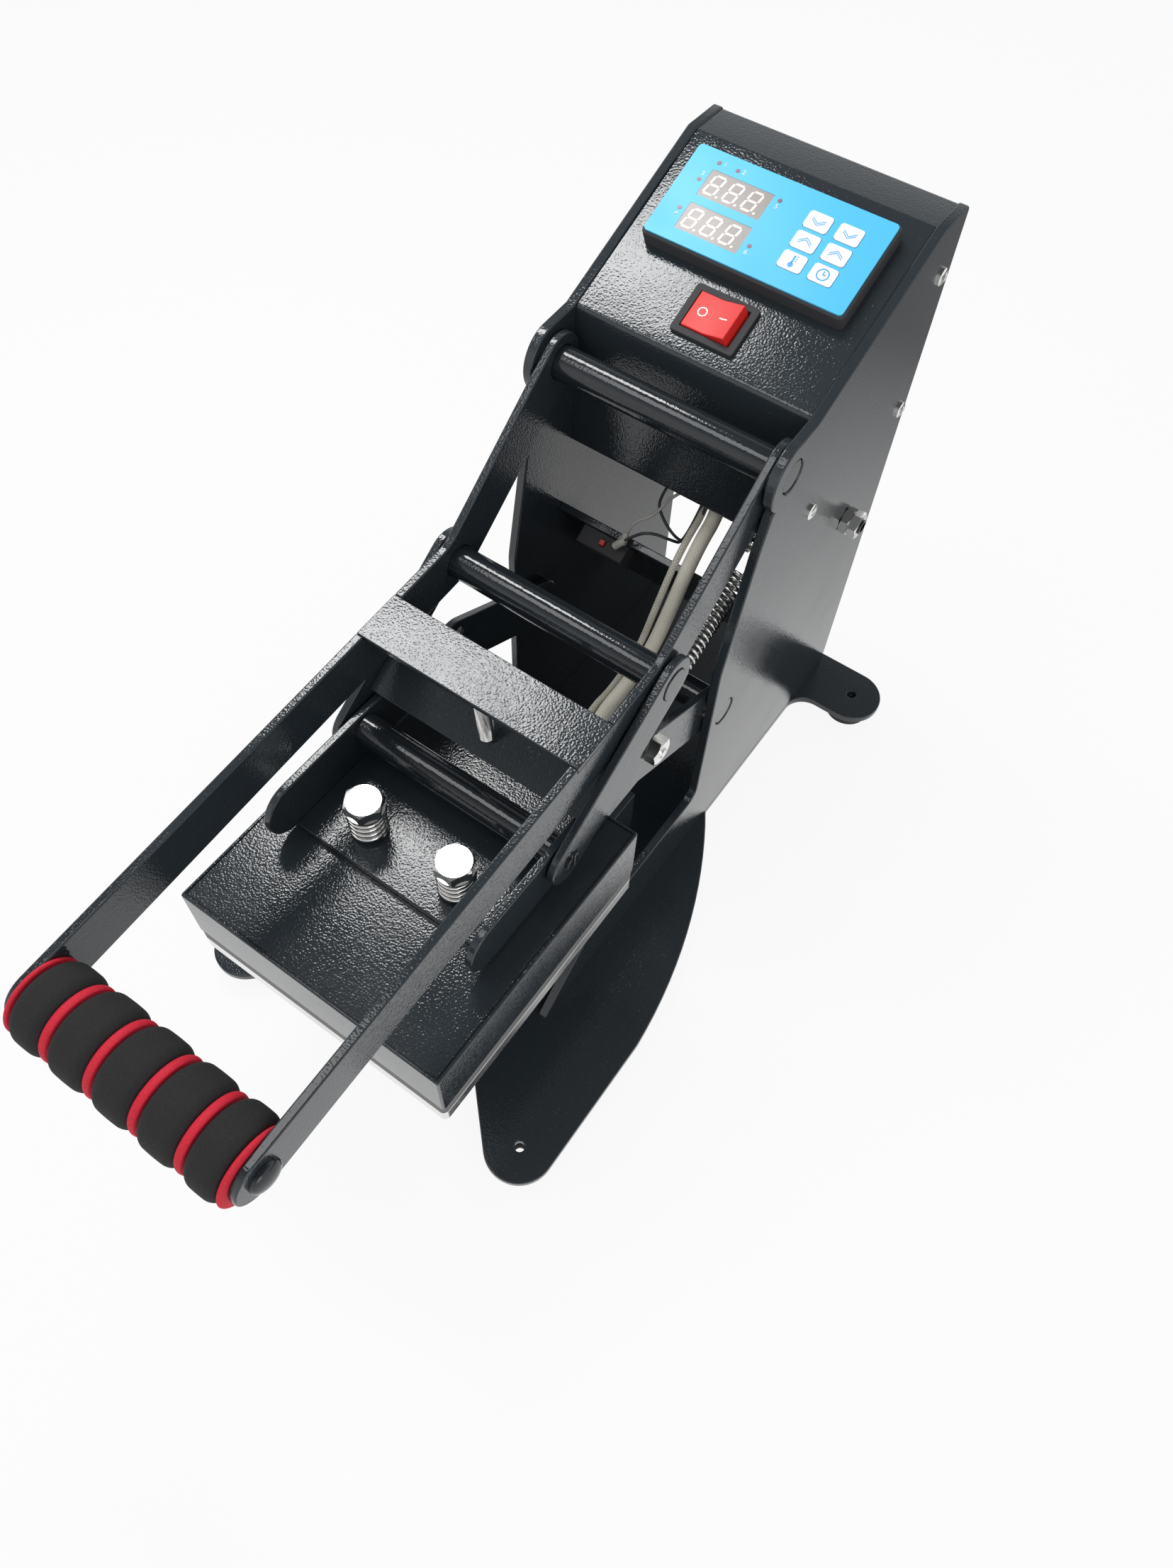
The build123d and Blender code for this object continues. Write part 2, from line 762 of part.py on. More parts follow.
# Stop plate let into the tops of the lever arms
handle_plane = Plane(
    origin=(0, knee_pivot[0], knee_pivot[1]),
    x_dir=(1, 0, 0),
    z_dir=(0, -handle_dir[1], handle_dir[0]),
)
with BuildPart() as stop_plate:
    with BuildSketch(handle_plane.offset(lever_w / 2 - stop_plate_t)):
        with Locations((0, -stop_plate_back - stop_plate_depth / 2)):
            Rectangle(2 * arm_outer_x, stop_plate_depth - 2 * running_gap)
    extrude(amount=stop_plate_t)
save(stop_plate.part, "stop_plate")

# Cross rods of the lever: the pivot rod turns in the side plates
with BuildPart() as lever_pivot_rod:
    cross_rod(lever_pivot, rod_recess - plate_outer_x, plate_outer_x - rod_recess, rod_r)
    chamfer(lever_pivot_rod.edges().filter_by(GeomType.CIRCLE), rod_chamfer)
save(lever_pivot_rod.part, "lever_pivot_rod")

with BuildPart() as knee_rod:
    cross_rod(knee_pivot, -arm_outer_x, arm_outer_x, rod_r)
save(knee_rod.part, "knee_rod")

# Handle bar with foam segments, red rings between them and a screw at each end
with BuildPart() as handle_bar:
    cross_rod(grip_axis, -arm_inner_x, arm_inner_x, handle_bar_r)
    for side, hand in sides:
        hole = sorted((hand * (arm_inner_x - handle_screw_depth), hand * arm_inner_x))
        cross_rod(grip_axis, *hole, handle_screw_r + running_gap, mode=Mode.SUBTRACT)
save(handle_bar.part, "handle_bar")

grip_end = arm_inner_x - grip_inset
segment_w = grip_pitch - grip_ring_w
with BuildPart() as grip_foam:
    for index in range(grip_segments):
        middle = (index - (grip_segments - 1) / 2) * grip_pitch
        low = max(middle - segment_w / 2, -grip_end)
        high = min(middle + segment_w / 2, grip_end)
        cross_rod(grip_axis, low, high, grip_r)
    fillet(grip_foam.edges().filter_by(GeomType.CIRCLE), grip_shoulder_r)
    cross_rod(grip_axis, -grip_end, grip_end, handle_bar_r + running_gap, mode=Mode.SUBTRACT)
save(grip_foam.part, "grip_foam")

with BuildPart() as grip_rings:
    for index in range(grip_segments - 1):
        middle = (index - (grip_segments - 2) / 2) * grip_pitch
        cross_rod(grip_axis, middle - grip_ring_w / 2, middle + grip_ring_w / 2, grip_ring_r)
    for side, hand in sides:
        cross_rod(grip_axis, *sorted((hand * grip_end, hand * (arm_inner_x - fit_gap))), grip_ring_r)
    cross_rod(grip_axis, -arm_inner_x, arm_inner_x, handle_bar_r + running_gap, mode=Mode.SUBTRACT)
save(grip_rings.part, "grip_rings")

with BuildPart() as handle_screws:
    for side, hand in sides:
        shank = sorted((hand * (arm_inner_x - handle_screw_depth + grip_inset), hand * arm_outer_x))
        head = sorted((hand * arm_outer_x, hand * (arm_outer_x + handle_head_h)))
        cross_rod(grip_axis, *shank, handle_screw_r)
        cross_rod(grip_axis, *head, handle_head_r)
    rims = [
        edge
        for edge in handle_screws.edges().filter_by(GeomType.CIRCLE)
        if abs(edge.center().X) > arm_outer_x + handle_head_h - fit_gap
    ]
    fillet(rims, handle_head_round)
save(handle_screws.part, "handle_screws")

# Links with a round pin at the knee, and the plate that ties the two links together
link_dir = unit(head_pivot, knee_pivot)
for side, hand in sides:
    with BuildPart() as link:
        with BuildSketch(Plane.YZ.offset(min(hand * inner_x, hand * link_outer_x))):
            bar((head_pivot, knee_pivot), link_w)
            with Locations(knee_pivot):
                Circle(rod_r + running_gap, mode=Mode.SUBTRACT)
            with Locations(head_pivot):
                Circle(head_pin_r + running_gap, mode=Mode.SUBTRACT)
        extrude(amount=link_t)
    save(link.part, f"link_{side}")

with BuildPart() as knee_pins:
    for side, hand in sides:
        cross_rod(knee_pivot, *sorted((hand * inner_x, hand * (link_outer_x + knee_pin_proud))), rod_r)
save(knee_pins.part, "knee_pins")

plate_low = along(head_pivot, link_dir, link_plate_start, link_plate_lift)
plate_high = along(head_pivot, link_dir, link_plate_end, link_plate_lift)
with BuildPart() as link_plate:
    with BuildSketch(Plane.YZ.offset(-inner_x)):
        with BuildLine():
            Polyline(
                plate_low,
                plate_high,
                along(plate_high, link_dir, 0, link_plate_t),
                along(plate_low, link_dir, 0, link_plate_t),
                close=True,
            )
        make_face()
    extrude(amount=2 * inner_x)
save(link_plate.part, "link_plate")

# Stop stud under the stop plate: it lands on the link plate when the press is closed
stud_back = stop_far + stop_stud_edge
stud_root = along(knee_pivot, handle_dir, stud_back, lever_w / 2 - stop_plate_t)
stud_down = (handle_dir[1], -handle_dir[0])
plate_top = along(plate_low, link_dir, 0, link_plate_t)
reach = (plate_top[0] - stud_root[0], plate_top[1] - stud_root[1])
stud_len = (reach[1] * link_dir[0] - reach[0] * link_dir[1]) / (
    stud_down[1] * link_dir[0] - stud_down[0] * link_dir[1]
)
with BuildPart() as stop_stud:
    with BuildSketch(handle_plane.offset(lever_w / 2 - stop_plate_t)):
        with Locations((stop_stud_x, stud_back)):
            Circle(stop_stud_r)
    extrude(amount=-(stud_len - stop_stud_r * 0.8 - contact_gap))
    fillet(stop_stud.edges().filter_by(GeomType.CIRCLE).sort_by(Axis.Z)[0], stop_stud_round)
save(stop_stud.part, "stop_stud")

# Carriage arms: flat over the heater, then down to the rear pivot
carriage_nose = (head_pivot[0] - carriage_reach, cover_top + carriage_rise)
carriage_bend = (head_pivot[0] + carriage_elbow, cover_top + carriage_rise)
for side, hand in sides:
    with BuildPart() as carriage_arm:
        with BuildSketch(Plane.YZ.offset(min(hand * arm_inner_x, hand * arm_outer_x))):
            bar((carriage_nose, carriage_bend, carriage_pivot), carriage_w)
            with Locations(carriage_pivot):
                Circle(rod_r + running_gap, mode=Mode.SUBTRACT)
            with Locations(head_pivot):
                Circle(head_pin_r + running_gap, mode=Mode.SUBTRACT)
            with Locations(spring_bolt):
                Circle(spring_pin_r + running_gap, mode=Mode.SUBTRACT)
        extrude(amount=arm_t)
    save(carriage_arm.part, f"carriage_arm_{side}")

# Head bracket between the carriage arms, with two holes for the heater bolts
bracket_z = cover_top + bracket_gap
with BuildPart() as head_bracket:
    with BuildSketch(Plane.XY.offset(bracket_z)):
        with Locations((0, head_y + bracket_back)):
            Rectangle(2 * arm_inner_x, bracket_depth)
        with Locations((-heater_bolt_x, head_y), (heater_bolt_x, head_y)):
            Circle(heater_bolt_r + contact_gap, mode=Mode.SUBTRACT)
    extrude(amount=bracket_t)
save(head_bracket.part, "head_bracket")

# Head rod with slotted pin ends that run in the links, and the rear carriage rod
with BuildPart() as head_rod:
    cross_rod(head_pivot, -arm_inner_x, arm_inner_x, rod_r)
    pin_end = link_outer_x + head_pin_proud
    cross_rod(head_pivot, -pin_end, pin_end, head_pin_r)
    for side, hand in sides:
        block(
            sorted((hand * (pin_end - head_pin_slot_depth), hand * (pin_end + 1))),
            (head_pivot[0] - head_pin_slot / 2, head_pivot[0] + head_pin_slot / 2),
            (head_pivot[1] - rod_r, head_pivot[1] + rod_r),
            mode=Mode.SUBTRACT,
        )
save(head_rod.part, "head_rod")

with BuildPart() as carriage_rod:
    cross_rod(carriage_pivot, rod_recess - plate_outer_x, plate_outer_x - rod_recess, rod_r)
    chamfer(carriage_rod.edges().filter_by(GeomType.CIRCLE), rod_chamfer)
save(carriage_rod.part, "carriage_rod")

# Spring bolt through the right carriage arm, with its nut outside; the left arm's hole stays empty
with BuildPart() as spring_bolt_set:
    cross_rod(spring_bolt, spring_head_x, arm_outer_x + spring_nut_t + spring_bolt_proud, spring_pin_r)
    cross_rod(spring_bolt, spring_head_x - spring_head_t, spring_head_x, spring_head_r)
    cross_hex(spring_bolt, arm_outer_x, arm_outer_x + spring_nut_t, spring_nut_af)
save(spring_bolt_set.part, "spring_bolt")

with BuildPart() as spring_post_set:
    cross_rod(spring_post, spring_head_x, inner_x, spring_pin_r)
    cross_rod(spring_post, spring_head_x - spring_head_t, spring_head_x, spring_head_r)
save(spring_post_set.part, "spring_post")

# Return spring, drawn as a plain round body with a straight hook at each end
spring_dir = unit(spring_bolt, spring_post)
spring_len = hypot(spring_post[0] - spring_bolt[0], spring_post[1] - spring_bolt[1])
spring_plane = Plane(
    origin=(spring_x, spring_bolt[0], spring_bolt[1]),
    x_dir=(1, 0, 0),
    z_dir=(0, spring_dir[0], spring_dir[1]),
)
with BuildPart() as return_spring:
    with BuildSketch(spring_plane.offset(spring_hook)):
        Circle(spring_r)
    extrude(amount=spring_len - 2 * spring_hook)
    with BuildSketch(spring_plane.offset(spring_pin_r + contact_gap)):
        Circle(spring_wire_r)
    extrude(amount=spring_len - 2 * spring_pin_r - 2 * contact_gap)
save(return_spring.part, "return_spring")

# Heater cover: a folded sheet box, open below
front_y = head_y - platen_size / 2
back_y = head_y + platen_size / 2
with BuildPart() as heater_cover:
    with BuildSketch(Plane.XY.offset(heater_z)):
        with Locations((0, head_y)):
            RectangleRounded(platen_size, platen_size, cover_corner_r)
    extrude(amount=cover_h)
    fillet(heater_cover.faces().sort_by(Axis.Z)[-1].edges(), cover_round)
    groove_side = platen_size - 2 * groove_inset
    with BuildSketch(Plane.XY.offset(cover_top)):
        with Locations((0, head_y)):
            Rectangle(groove_side, groove_side)
            Rectangle(groove_side - 2 * groove_w, groove_side - 2 * groove_w, mode=Mode.SUBTRACT)
    extrude(amount=-groove_depth, mode=Mode.SUBTRACT)
    with BuildSketch(Plane.XY.offset(heater_z)):
        with Locations((0, head_y)):
            Rectangle(platen_size - 2 * cover_wall, platen_size - 2 * cover_wall)
    extrude(amount=cover_h - cover_wall, mode=Mode.SUBTRACT)
    with BuildSketch(Plane.XY.offset(heater_z)):
        with Locations((-heater_bolt_x, head_y), (heater_bolt_x, head_y)):
            Circle(heater_bolt_r + contact_gap)
    extrude(amount=cover_h + 1, mode=Mode.SUBTRACT)
    with BuildSketch(Plane.XZ.offset(-back_y - 1)):
        lead_opening(lead_end_z)
    extrude(amount=2 + 2 * cover_wall, mode=Mode.SUBTRACT)
save(heater_cover.part, "heater_cover")

# Heated platen and the insulation above it
heater_side = platen_size - 2 * cover_wall - 2 * fit_gap
insulation_side = heater_side - 2 * insulation_inset
insulation_h = cover_h - cover_wall - heater_t - insulation_air
with BuildPart() as heater_platen:
    block(
        (-heater_side / 2, heater_side / 2),
        (head_y - heater_side / 2, head_y + heater_side / 2),
        (heater_z, heater_z + heater_t),
    )
    with BuildSketch(Plane.XY.offset(heater_z + heater_t)):
        with Locations((-heater_bolt_x, head_y), (heater_bolt_x, head_y)):
            Circle(heater_bolt_r + running_gap)
    extrude(amount=-heater_bolt_bite - contact_gap, mode=Mode.SUBTRACT)
save(heater_platen.part, "heater_platen")

with BuildPart() as heater_insulation:
    insulation_z = heater_z + heater_t + running_gap
    with BuildSketch(Plane.XY.offset(insulation_z)):
        with Locations((0, head_y)):
            Rectangle(insulation_side, insulation_side)
        with Locations((-heater_bolt_x, head_y), (heater_bolt_x, head_y)):
            Circle(heater_bolt_r + contact_gap, mode=Mode.SUBTRACT)
    extrude(amount=insulation_h)
save(heater_insulation.part, "heater_insulation")

# Heater bolts: hex head, washer and a long shank down into the platen
spring_seat = bracket_z + bracket_t
washer_z = spring_seat + float_spring_h
head_z = washer_z + bolt_washer_t
with BuildPart() as heater_bolts:
    for side, hand in sides:
        with BuildSketch(Plane.XY.offset(head_z)):
            with Locations((hand * heater_bolt_x, head_y)):
                RegularPolygon(bolt_head_af / 2, 6, major_radius=False)
        extrude(amount=bolt_head_h)
        with BuildSketch(Plane.XY.offset(washer_z)):
            with Locations((hand * heater_bolt_x, head_y)):
                Circle(bolt_washer_r)
        extrude(amount=bolt_washer_t)
        with BuildSketch(Plane.XY.offset(heater_z + heater_t - heater_bolt_bite)):
            with Locations((hand * heater_bolt_x, head_y)):
                Circle(heater_bolt_r)
        extrude(amount=washer_z - heater_z - heater_t + heater_bolt_bite)
save(heater_bolts.part, "heater_bolts")

with BuildPart() as float_springs:
    with BuildSketch(Plane.XY.offset(spring_seat)):
        with Locations((-heater_bolt_x, head_y), (heater_bolt_x, head_y)):
            Circle(float_spring_r)
            Circle(float_spring_r - 2 * float_wire_r, mode=Mode.SUBTRACT)
    extrude(amount=float_spring_h)
save(float_springs.part, "float_springs")


def cable(name, x, radius, forward=0.0):
    """Sweep a round cable from the box floor, over the brace and the carriage rod, to the heater."""
    route = [
        (x, lead_top_y, box_floor + 18),
        (x, lead_top_y, box_floor - 8),
        (x, brace_top[0] + 3.5 - forward, brace_top[1] + 18),
        (x, carriage_pivot[0] + 7 - forward, carriage_pivot[1] + 40),
        (x, carriage_pivot[0] - 8, carriage_pivot[1] + 22),
        (x, back_y + 64.5, lead_end_z + 17 - forward),
        (x, back_y + 47.5, lead_end_z + 16.5),
        (x, back_y + 23.5, lead_end_z),
        (x, back_y - 3, lead_end_z),
    ]
    points = [Vector(*p) for p in route]
    runs = [b - a for a, b in zip(points, points[1:])]
    turns = [radians(a.get_angle(b)) / 2 for a, b in zip(runs, runs[1:])]
    radii = [
        0.45 * min(a.length, b.length) * cos(turn) / sin(turn)
        for a, b, turn in zip(runs, runs[1:], turns)
    ]
    print(name, "bend radii", [round(r, 1) for r in radii])
    with BuildPart() as tube:
        with BuildLine() as path:
            FilletPolyline(*points, radius=radii)
        with BuildSketch(Plane(origin=path.line @ 0, z_dir=path.line % 0)):
            Circle(radius)
        sweep()
    length = sum(edge.length for edge in path.edges())
    print(name, "volume", round(tube.part.volume, 1), "expected", round(pi * radius**2 * length, 1))
    save(tube.part, name)


cable("heater_lead", lead_x, lead_r)
cable("sensor_cable", sensor_x, sensor_r, sensor_forward)

# Temperature controller: bezel over the panel and a case behind it
face_n = bezel_t
key_low = face_n + face_t + key_proud - key_t
key_places = [
    (key_centre_x + (column - 0.5) * key_pitch_x, controller_v + (1 - row) * key_pitch_v)
    for row in range(3)
    for column in range(2)
]
window_places = [(window_x, controller_v + v) for v in window_vs]
lamps = [(x, controller_v + v) for x, v in lamp_places]
with BuildPart() as controller_body:
    with BuildSketch(panel_plane):
        with Locations((0, controller_v)):
            RectangleRounded(bezel_w, bezel_h, bezel_corner_r)
    extrude(amount=bezel_t)
    bezel_front = controller_body.faces().sort_by(Axis((0, 0, 0), tuple(panel_plane.z_dir)))[-1]
    chamfer(bezel_front.edges(), bezel_chamfer)
    with BuildSketch(panel_plane):
        with Locations((0, controller_v)):
            Rectangle(case_w, case_h)
    extrude(amount=-case_depth)
    with BuildSketch(panel_plane.offset(bezel_t)):
        with Locations(*key_places):
            RectangleRounded(key_w + 2 * fit_gap, key_h + 2 * fit_gap, key_corner_r)
    extrude(amount=-(bezel_t - key_low + key_travel + 0.1), mode=Mode.SUBTRACT)
save(controller_body.part, "controller_body")

with BuildPart() as controller_face:
    with BuildSketch(panel_plane.offset(face_n)):
        with Locations((0, controller_v)):
            RectangleRounded(face_w, face_h, face_corner_r)
        with Locations(*key_places):
            RectangleRounded(key_w + 2 * fit_gap, key_h + 2 * fit_gap, key_corner_r, mode=Mode.SUBTRACT)
        with Locations(*window_places):
            Rectangle(window_w, window_h, mode=Mode.SUBTRACT)
        with Locations(*lamps):
            Circle(lamp_r + running_gap, mode=Mode.SUBTRACT)
    extrude(amount=face_t)
save(controller_face.part, "controller_face")

with BuildPart() as display_windows:
    with BuildSketch(panel_plane.offset(face_n)):
        with Locations(*window_places):
            Rectangle(window_w - 2 * running_gap, window_h - 2 * running_gap)
    extrude(amount=face_t - 0.1)
save(display_windows.part, "display_windows")

with BuildPart() as indicator_lamps:
    with BuildSketch(panel_plane.offset(face_n)):
        with Locations(*lamps):
            Circle(lamp_r)
    extrude(amount=face_t + 0.1)
save(indicator_lamps.part, "indicator_lamps")

for index, place in enumerate(key_places):
    with BuildPart() as key:
        with BuildSketch(panel_plane.offset(key_low)):
            with Locations(place):
                RectangleRounded(key_w, key_h, key_corner_r)
        extrude(amount=key_t)
    save(key.part, f"key_{index + 1}")

# Power switch: rim, body and terminals, with the rocker on its own pins
switch_origin = panel_plane.from_local_coords((0, switch_v, 0))
rocker_plane = Plane(
    origin=switch_origin,
    x_dir=(1, 0, 0),
    z_dir=(0, -cos(panel_angle), -sin(panel_angle)),
)
cavity_w = switch_body_w - 2 * switch_wall
cavity_h = switch_body_h - 2 * switch_wall
rocker_half = cavity_h / 2 - contact_gap
with BuildPart() as switch_body:
    with BuildSketch(panel_plane):
        with Locations((0, switch_v)):
            RectangleRounded(switch_w, switch_h, switch_corner_r)
    extrude(amount=switch_rim_t)
    with BuildSketch(panel_plane):
        with Locations((0, switch_v)):
            Rectangle(switch_body_w, switch_body_h)
    extrude(amount=-switch_body_depth)
    with BuildSketch(panel_plane.offset(switch_rim_t)):
        with Locations((0, switch_v)):
            Rectangle(cavity_w, cavity_h)
    extrude(amount=-(switch_rim_t + switch_body_depth - 3), mode=Mode.SUBTRACT)
    with BuildSketch(rocker_plane.offset(-cavity_h / 2 - 1)):
        with Locations((0, -rocker_pivot_depth)):
            Circle(rocker_pin_r + running_gap)
    extrude(amount=cavity_h + 2, mode=Mode.SUBTRACT)
    with BuildSketch(panel_plane.offset(-switch_body_depth)):
        with Locations(*[(x, switch_v + v) for x, v in terminal_places]):
            Rectangle(terminal_w, terminal_h)
    extrude(amount=-terminal_len)
save(switch_body.part, "switch_body")

rocker_top = rocker_pivot_depth + switch_rim_t + 0.8
rocker_low = -3.0
raised_half = ((0, rocker_low), (rocker_r, rocker_low), (rocker_r, rocker_top), (0, rocker_top))
with BuildPart() as rocker:
    with BuildSketch(rocker_plane.offset(-rocker_half)):
        with Locations((0, -rocker_pivot_depth)):
            with Locations((-rocker_r / 2, (rocker_top + rocker_low) / 2)):
                Rectangle(rocker_r, rocker_top - rocker_low)
        with BuildLine():
            turn = radians(2 * rocker_tilt)
            Polyline(
                *[
                    (x * cos(turn) - n * sin(turn), x * sin(turn) + n * cos(turn) - rocker_pivot_depth)
                    for x, n in raised_half
                ],
                close=True,
            )
        make_face()
    extrude(amount=2 * rocker_half)
    with BuildSketch(rocker_plane.offset(-rocker_half - 1)):
        with Locations((0, -rocker_pivot_depth)):
            Circle(rocker_pin_r)
    extrude(amount=2 * rocker_half + 2)
save(rocker.part, "rocker")
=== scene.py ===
"""Visual model of a small flat heat press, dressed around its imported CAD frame.

Sizes are in millimetres and become metres when a mesh is made. X runs to the
operator's right, Y to the back and Z up from the table.
"""

import json
import logging
from dataclasses import dataclass
from enum import Enum
from math import ceil, cos, hypot, pi, radians, sin, tau
from typing import Callable, Sequence

import bmesh
import bpy
import numpy as np
from mathutils import Matrix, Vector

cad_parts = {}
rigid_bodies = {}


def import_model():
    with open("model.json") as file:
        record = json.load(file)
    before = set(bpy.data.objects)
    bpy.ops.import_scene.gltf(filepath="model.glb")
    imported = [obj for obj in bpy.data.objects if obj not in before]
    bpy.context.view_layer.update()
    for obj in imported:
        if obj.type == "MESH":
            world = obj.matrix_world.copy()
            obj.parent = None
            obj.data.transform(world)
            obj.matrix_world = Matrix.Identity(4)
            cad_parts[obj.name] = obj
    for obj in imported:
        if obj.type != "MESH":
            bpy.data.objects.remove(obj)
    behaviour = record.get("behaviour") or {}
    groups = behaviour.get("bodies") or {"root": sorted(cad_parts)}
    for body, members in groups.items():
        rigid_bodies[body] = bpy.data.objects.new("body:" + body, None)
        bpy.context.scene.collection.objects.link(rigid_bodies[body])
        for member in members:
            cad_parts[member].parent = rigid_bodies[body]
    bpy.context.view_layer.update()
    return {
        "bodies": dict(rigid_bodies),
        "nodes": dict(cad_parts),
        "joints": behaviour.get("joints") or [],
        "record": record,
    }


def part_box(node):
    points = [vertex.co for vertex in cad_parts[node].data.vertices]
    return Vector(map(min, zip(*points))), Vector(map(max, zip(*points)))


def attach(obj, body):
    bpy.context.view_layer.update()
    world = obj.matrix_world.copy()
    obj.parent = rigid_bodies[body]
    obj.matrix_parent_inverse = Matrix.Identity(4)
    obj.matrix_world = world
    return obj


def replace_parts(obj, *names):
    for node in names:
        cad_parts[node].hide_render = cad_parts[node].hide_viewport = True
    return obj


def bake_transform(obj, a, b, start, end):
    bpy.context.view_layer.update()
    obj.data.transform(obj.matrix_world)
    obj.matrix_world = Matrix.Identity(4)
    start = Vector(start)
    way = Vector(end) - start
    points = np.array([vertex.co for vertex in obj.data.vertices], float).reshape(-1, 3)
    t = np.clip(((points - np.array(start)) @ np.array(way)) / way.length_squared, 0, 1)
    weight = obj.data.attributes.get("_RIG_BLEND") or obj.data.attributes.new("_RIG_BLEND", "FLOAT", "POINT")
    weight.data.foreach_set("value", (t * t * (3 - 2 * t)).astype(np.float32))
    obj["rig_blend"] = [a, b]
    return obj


LOG = logging.getLogger("heat_press")
MM = 0.001
SIDES = (-1.0, 1.0)
ACROSS = (1, 0, 0)
UPRIGHT = (0, 0, 1)
Triple = Sequence[float]
Thing = bpy.types.Object
Node = bpy.types.Node
Socket = bpy.types.NodeSocket


class Body(Enum):
    """Bodies of the CAD model that a piece can ride on."""

    FRAME = "frame"
    LEVER = "lever"
    LINKS = "links"
    CARRIAGE = "carriage"
    ROCKER = "switch_rocker"
    PLUNGER = "plunger"


# Surfaces


@dataclass
class Surface:
    """Points in millimetres, faces, and a texture place for each face corner."""

    points: np.ndarray
    faces: list
    uvs: np.ndarray


def unit(vector: Triple) -> np.ndarray:
    """Scale a vector to length one."""
    array = np.asarray(vector, float)
    return array / np.linalg.norm(array)


def smoothstep(low: float, high: float, value: np.ndarray) -> np.ndarray:
    """Ease from 0 at low to 1 at high, level at both ends: 3t squared less 2t cubed."""
    t = np.clip((value - low) / (high - low), 0.0, 1.0)
    return t * t * (3 - 2 * t)


def square_axes(axis: Triple) -> tuple[np.ndarray, np.ndarray, np.ndarray]:
    """Find two unit directions square to an axis.

    Args:
        axis: Direction of the axis.

    Returns:
        The two directions and the axis, right handed.
    """
    w = unit(axis)
    spare = np.array([0.0, 0.0, 1.0]) if abs(w[2]) < 0.9 else np.array([1.0, 0.0, 0.0])
    u = unit(np.cross(spare, w))
    return u, np.cross(w, u), w


def round_turns(sides: int) -> np.ndarray:
    """Evenly spaced angles once round, without the last."""
    return np.linspace(0.0, tau, sides, endpoint=False)


def spokes(turn: np.ndarray, u: np.ndarray, v: np.ndarray) -> np.ndarray:
    """Directions at the given angles: the cosine along u plus the sine along v."""
    return np.cos(turn)[:, None] * u + np.sin(turn)[:, None] * v


def sweep(rings: np.ndarray, closed: bool = False, length: np.ndarray | None = None) -> Surface:
    """Join a row of rings into one skin with a flat cap at each end.

    Face (i, j) joins points j and j + 1 of rings i and i + 1. The texture place of
    a corner is (distance along the row, share of the way round).

    Args:
        rings: Points, shaped rings by points by 3, counter-clockwise along the row.
        closed: Whether the last ring joins the first.
        length: Distance of each ring along the row, for the texture.

    Returns:
        The skin.
    """
    rows, cols = rings.shape[:2]
    index = np.arange(rows * cols).reshape(rows, cols)
    here = index if closed else index[:-1]
    there = np.roll(index, -1, 0) if closed else index[1:]
    quads = np.stack([here, np.roll(here, -1, 1), np.roll(there, -1, 1), there], -1)
    run = np.arange(rows, dtype=float) if length is None else np.asarray(length, float)
    step = np.append(run[1:], 2 * run[-1] - run[-2])[: len(here), None]
    start = run[: len(here), None]
    turn = np.arange(cols)[None, :] / cols
    after = turn + 1 / cols
    grid = np.zeros((len(here), cols, 4, 2))
    grid[..., 0] = np.stack([start, start, step, step], -1)
    grid[..., 1] = np.stack([turn, after, after, turn], -1)
    faces = [tuple(q) for q in quads.reshape(-1, 4).tolist()]
    uvs = [grid.reshape(-1, 2)]
    if not closed:
        faces += [tuple(index[0][::-1].tolist()), tuple(index[-1].tolist())]
        uvs.append(np.zeros((2 * cols, 2)))
    return Surface(rings.reshape(-1, 3), faces, np.concatenate(uvs))


def join(surfaces: Sequence[Surface]) -> Surface:
    """Put several surfaces into one, each still closed by itself.

    Args:
        surfaces: The surfaces.

    Returns:
        One surface, with the face numbers of each moved past the points before it.
    """
    offsets = np.cumsum([0] + [len(s.points) for s in surfaces])
    faces = [
        tuple(i + int(offset) for i in face)
        for surface, offset in zip(surfaces, offsets)
        for face in surface.faces
    ]
    points = np.concatenate([s.points for s in surfaces])
    return Surface(points, faces, np.concatenate([s.uvs for s in surfaces]))


def turned(profile: Sequence[Sequence[float]], origin: Triple, axis: Triple, sides: int = 48) -> Surface:
    """Turn a profile round an axis.

    Ring i is the circle of radius profile[i][1] at profile[i][0] along the axis.

    Args:
        profile: Pairs (distance along the axis, radius).
        origin: Point where the distance is zero.
        axis: Direction of the axis.
        sides: Points in each ring.

    Returns:
        The turned skin.
    """
    rows = np.asarray(profile, float)
    u, v, w = square_axes(axis)
    around = spokes(round_turns(sides), u, v)
    rings = np.asarray(origin, float) + rows[:, 0, None, None] * w + rows[:, 1, None, None] * around
    return sweep(rings)


def tube(path: np.ndarray, radius: float | np.ndarray, outward: np.ndarray | Triple,
         sides: int) -> Surface:
    """Carry a circle along a path.

    Ring i is path[i] plus radius times (cosine, sine) of the turn along two
    directions square to the path, of which one is square to outward as well.

    Args:
        path: Points of the centre line.
        radius: Radius, one number or one for each point.
        outward: A direction never along the path, one or one for each point.
        sides: Points in each ring.

    Returns:
        The tube with flat ends.
    """
    tangent = np.gradient(path, axis=0)
    tangent /= np.linalg.norm(tangent, axis=1)[:, None]
    side = np.cross(np.broadcast_to(np.asarray(outward, float), path.shape), tangent)
    side /= np.linalg.norm(side, axis=1)[:, None]
    up = np.cross(tangent, side)
    radii = np.broadcast_to(np.asarray(radius, float), len(path))[:, None, None]
    around = spokes(round_turns(sides), side[:, None], up[:, None])
    steps = np.linalg.norm(np.diff(path, axis=0), axis=1)
    return sweep(path[:, None] + radii * around, length=np.append(0.0, np.cumsum(steps)))


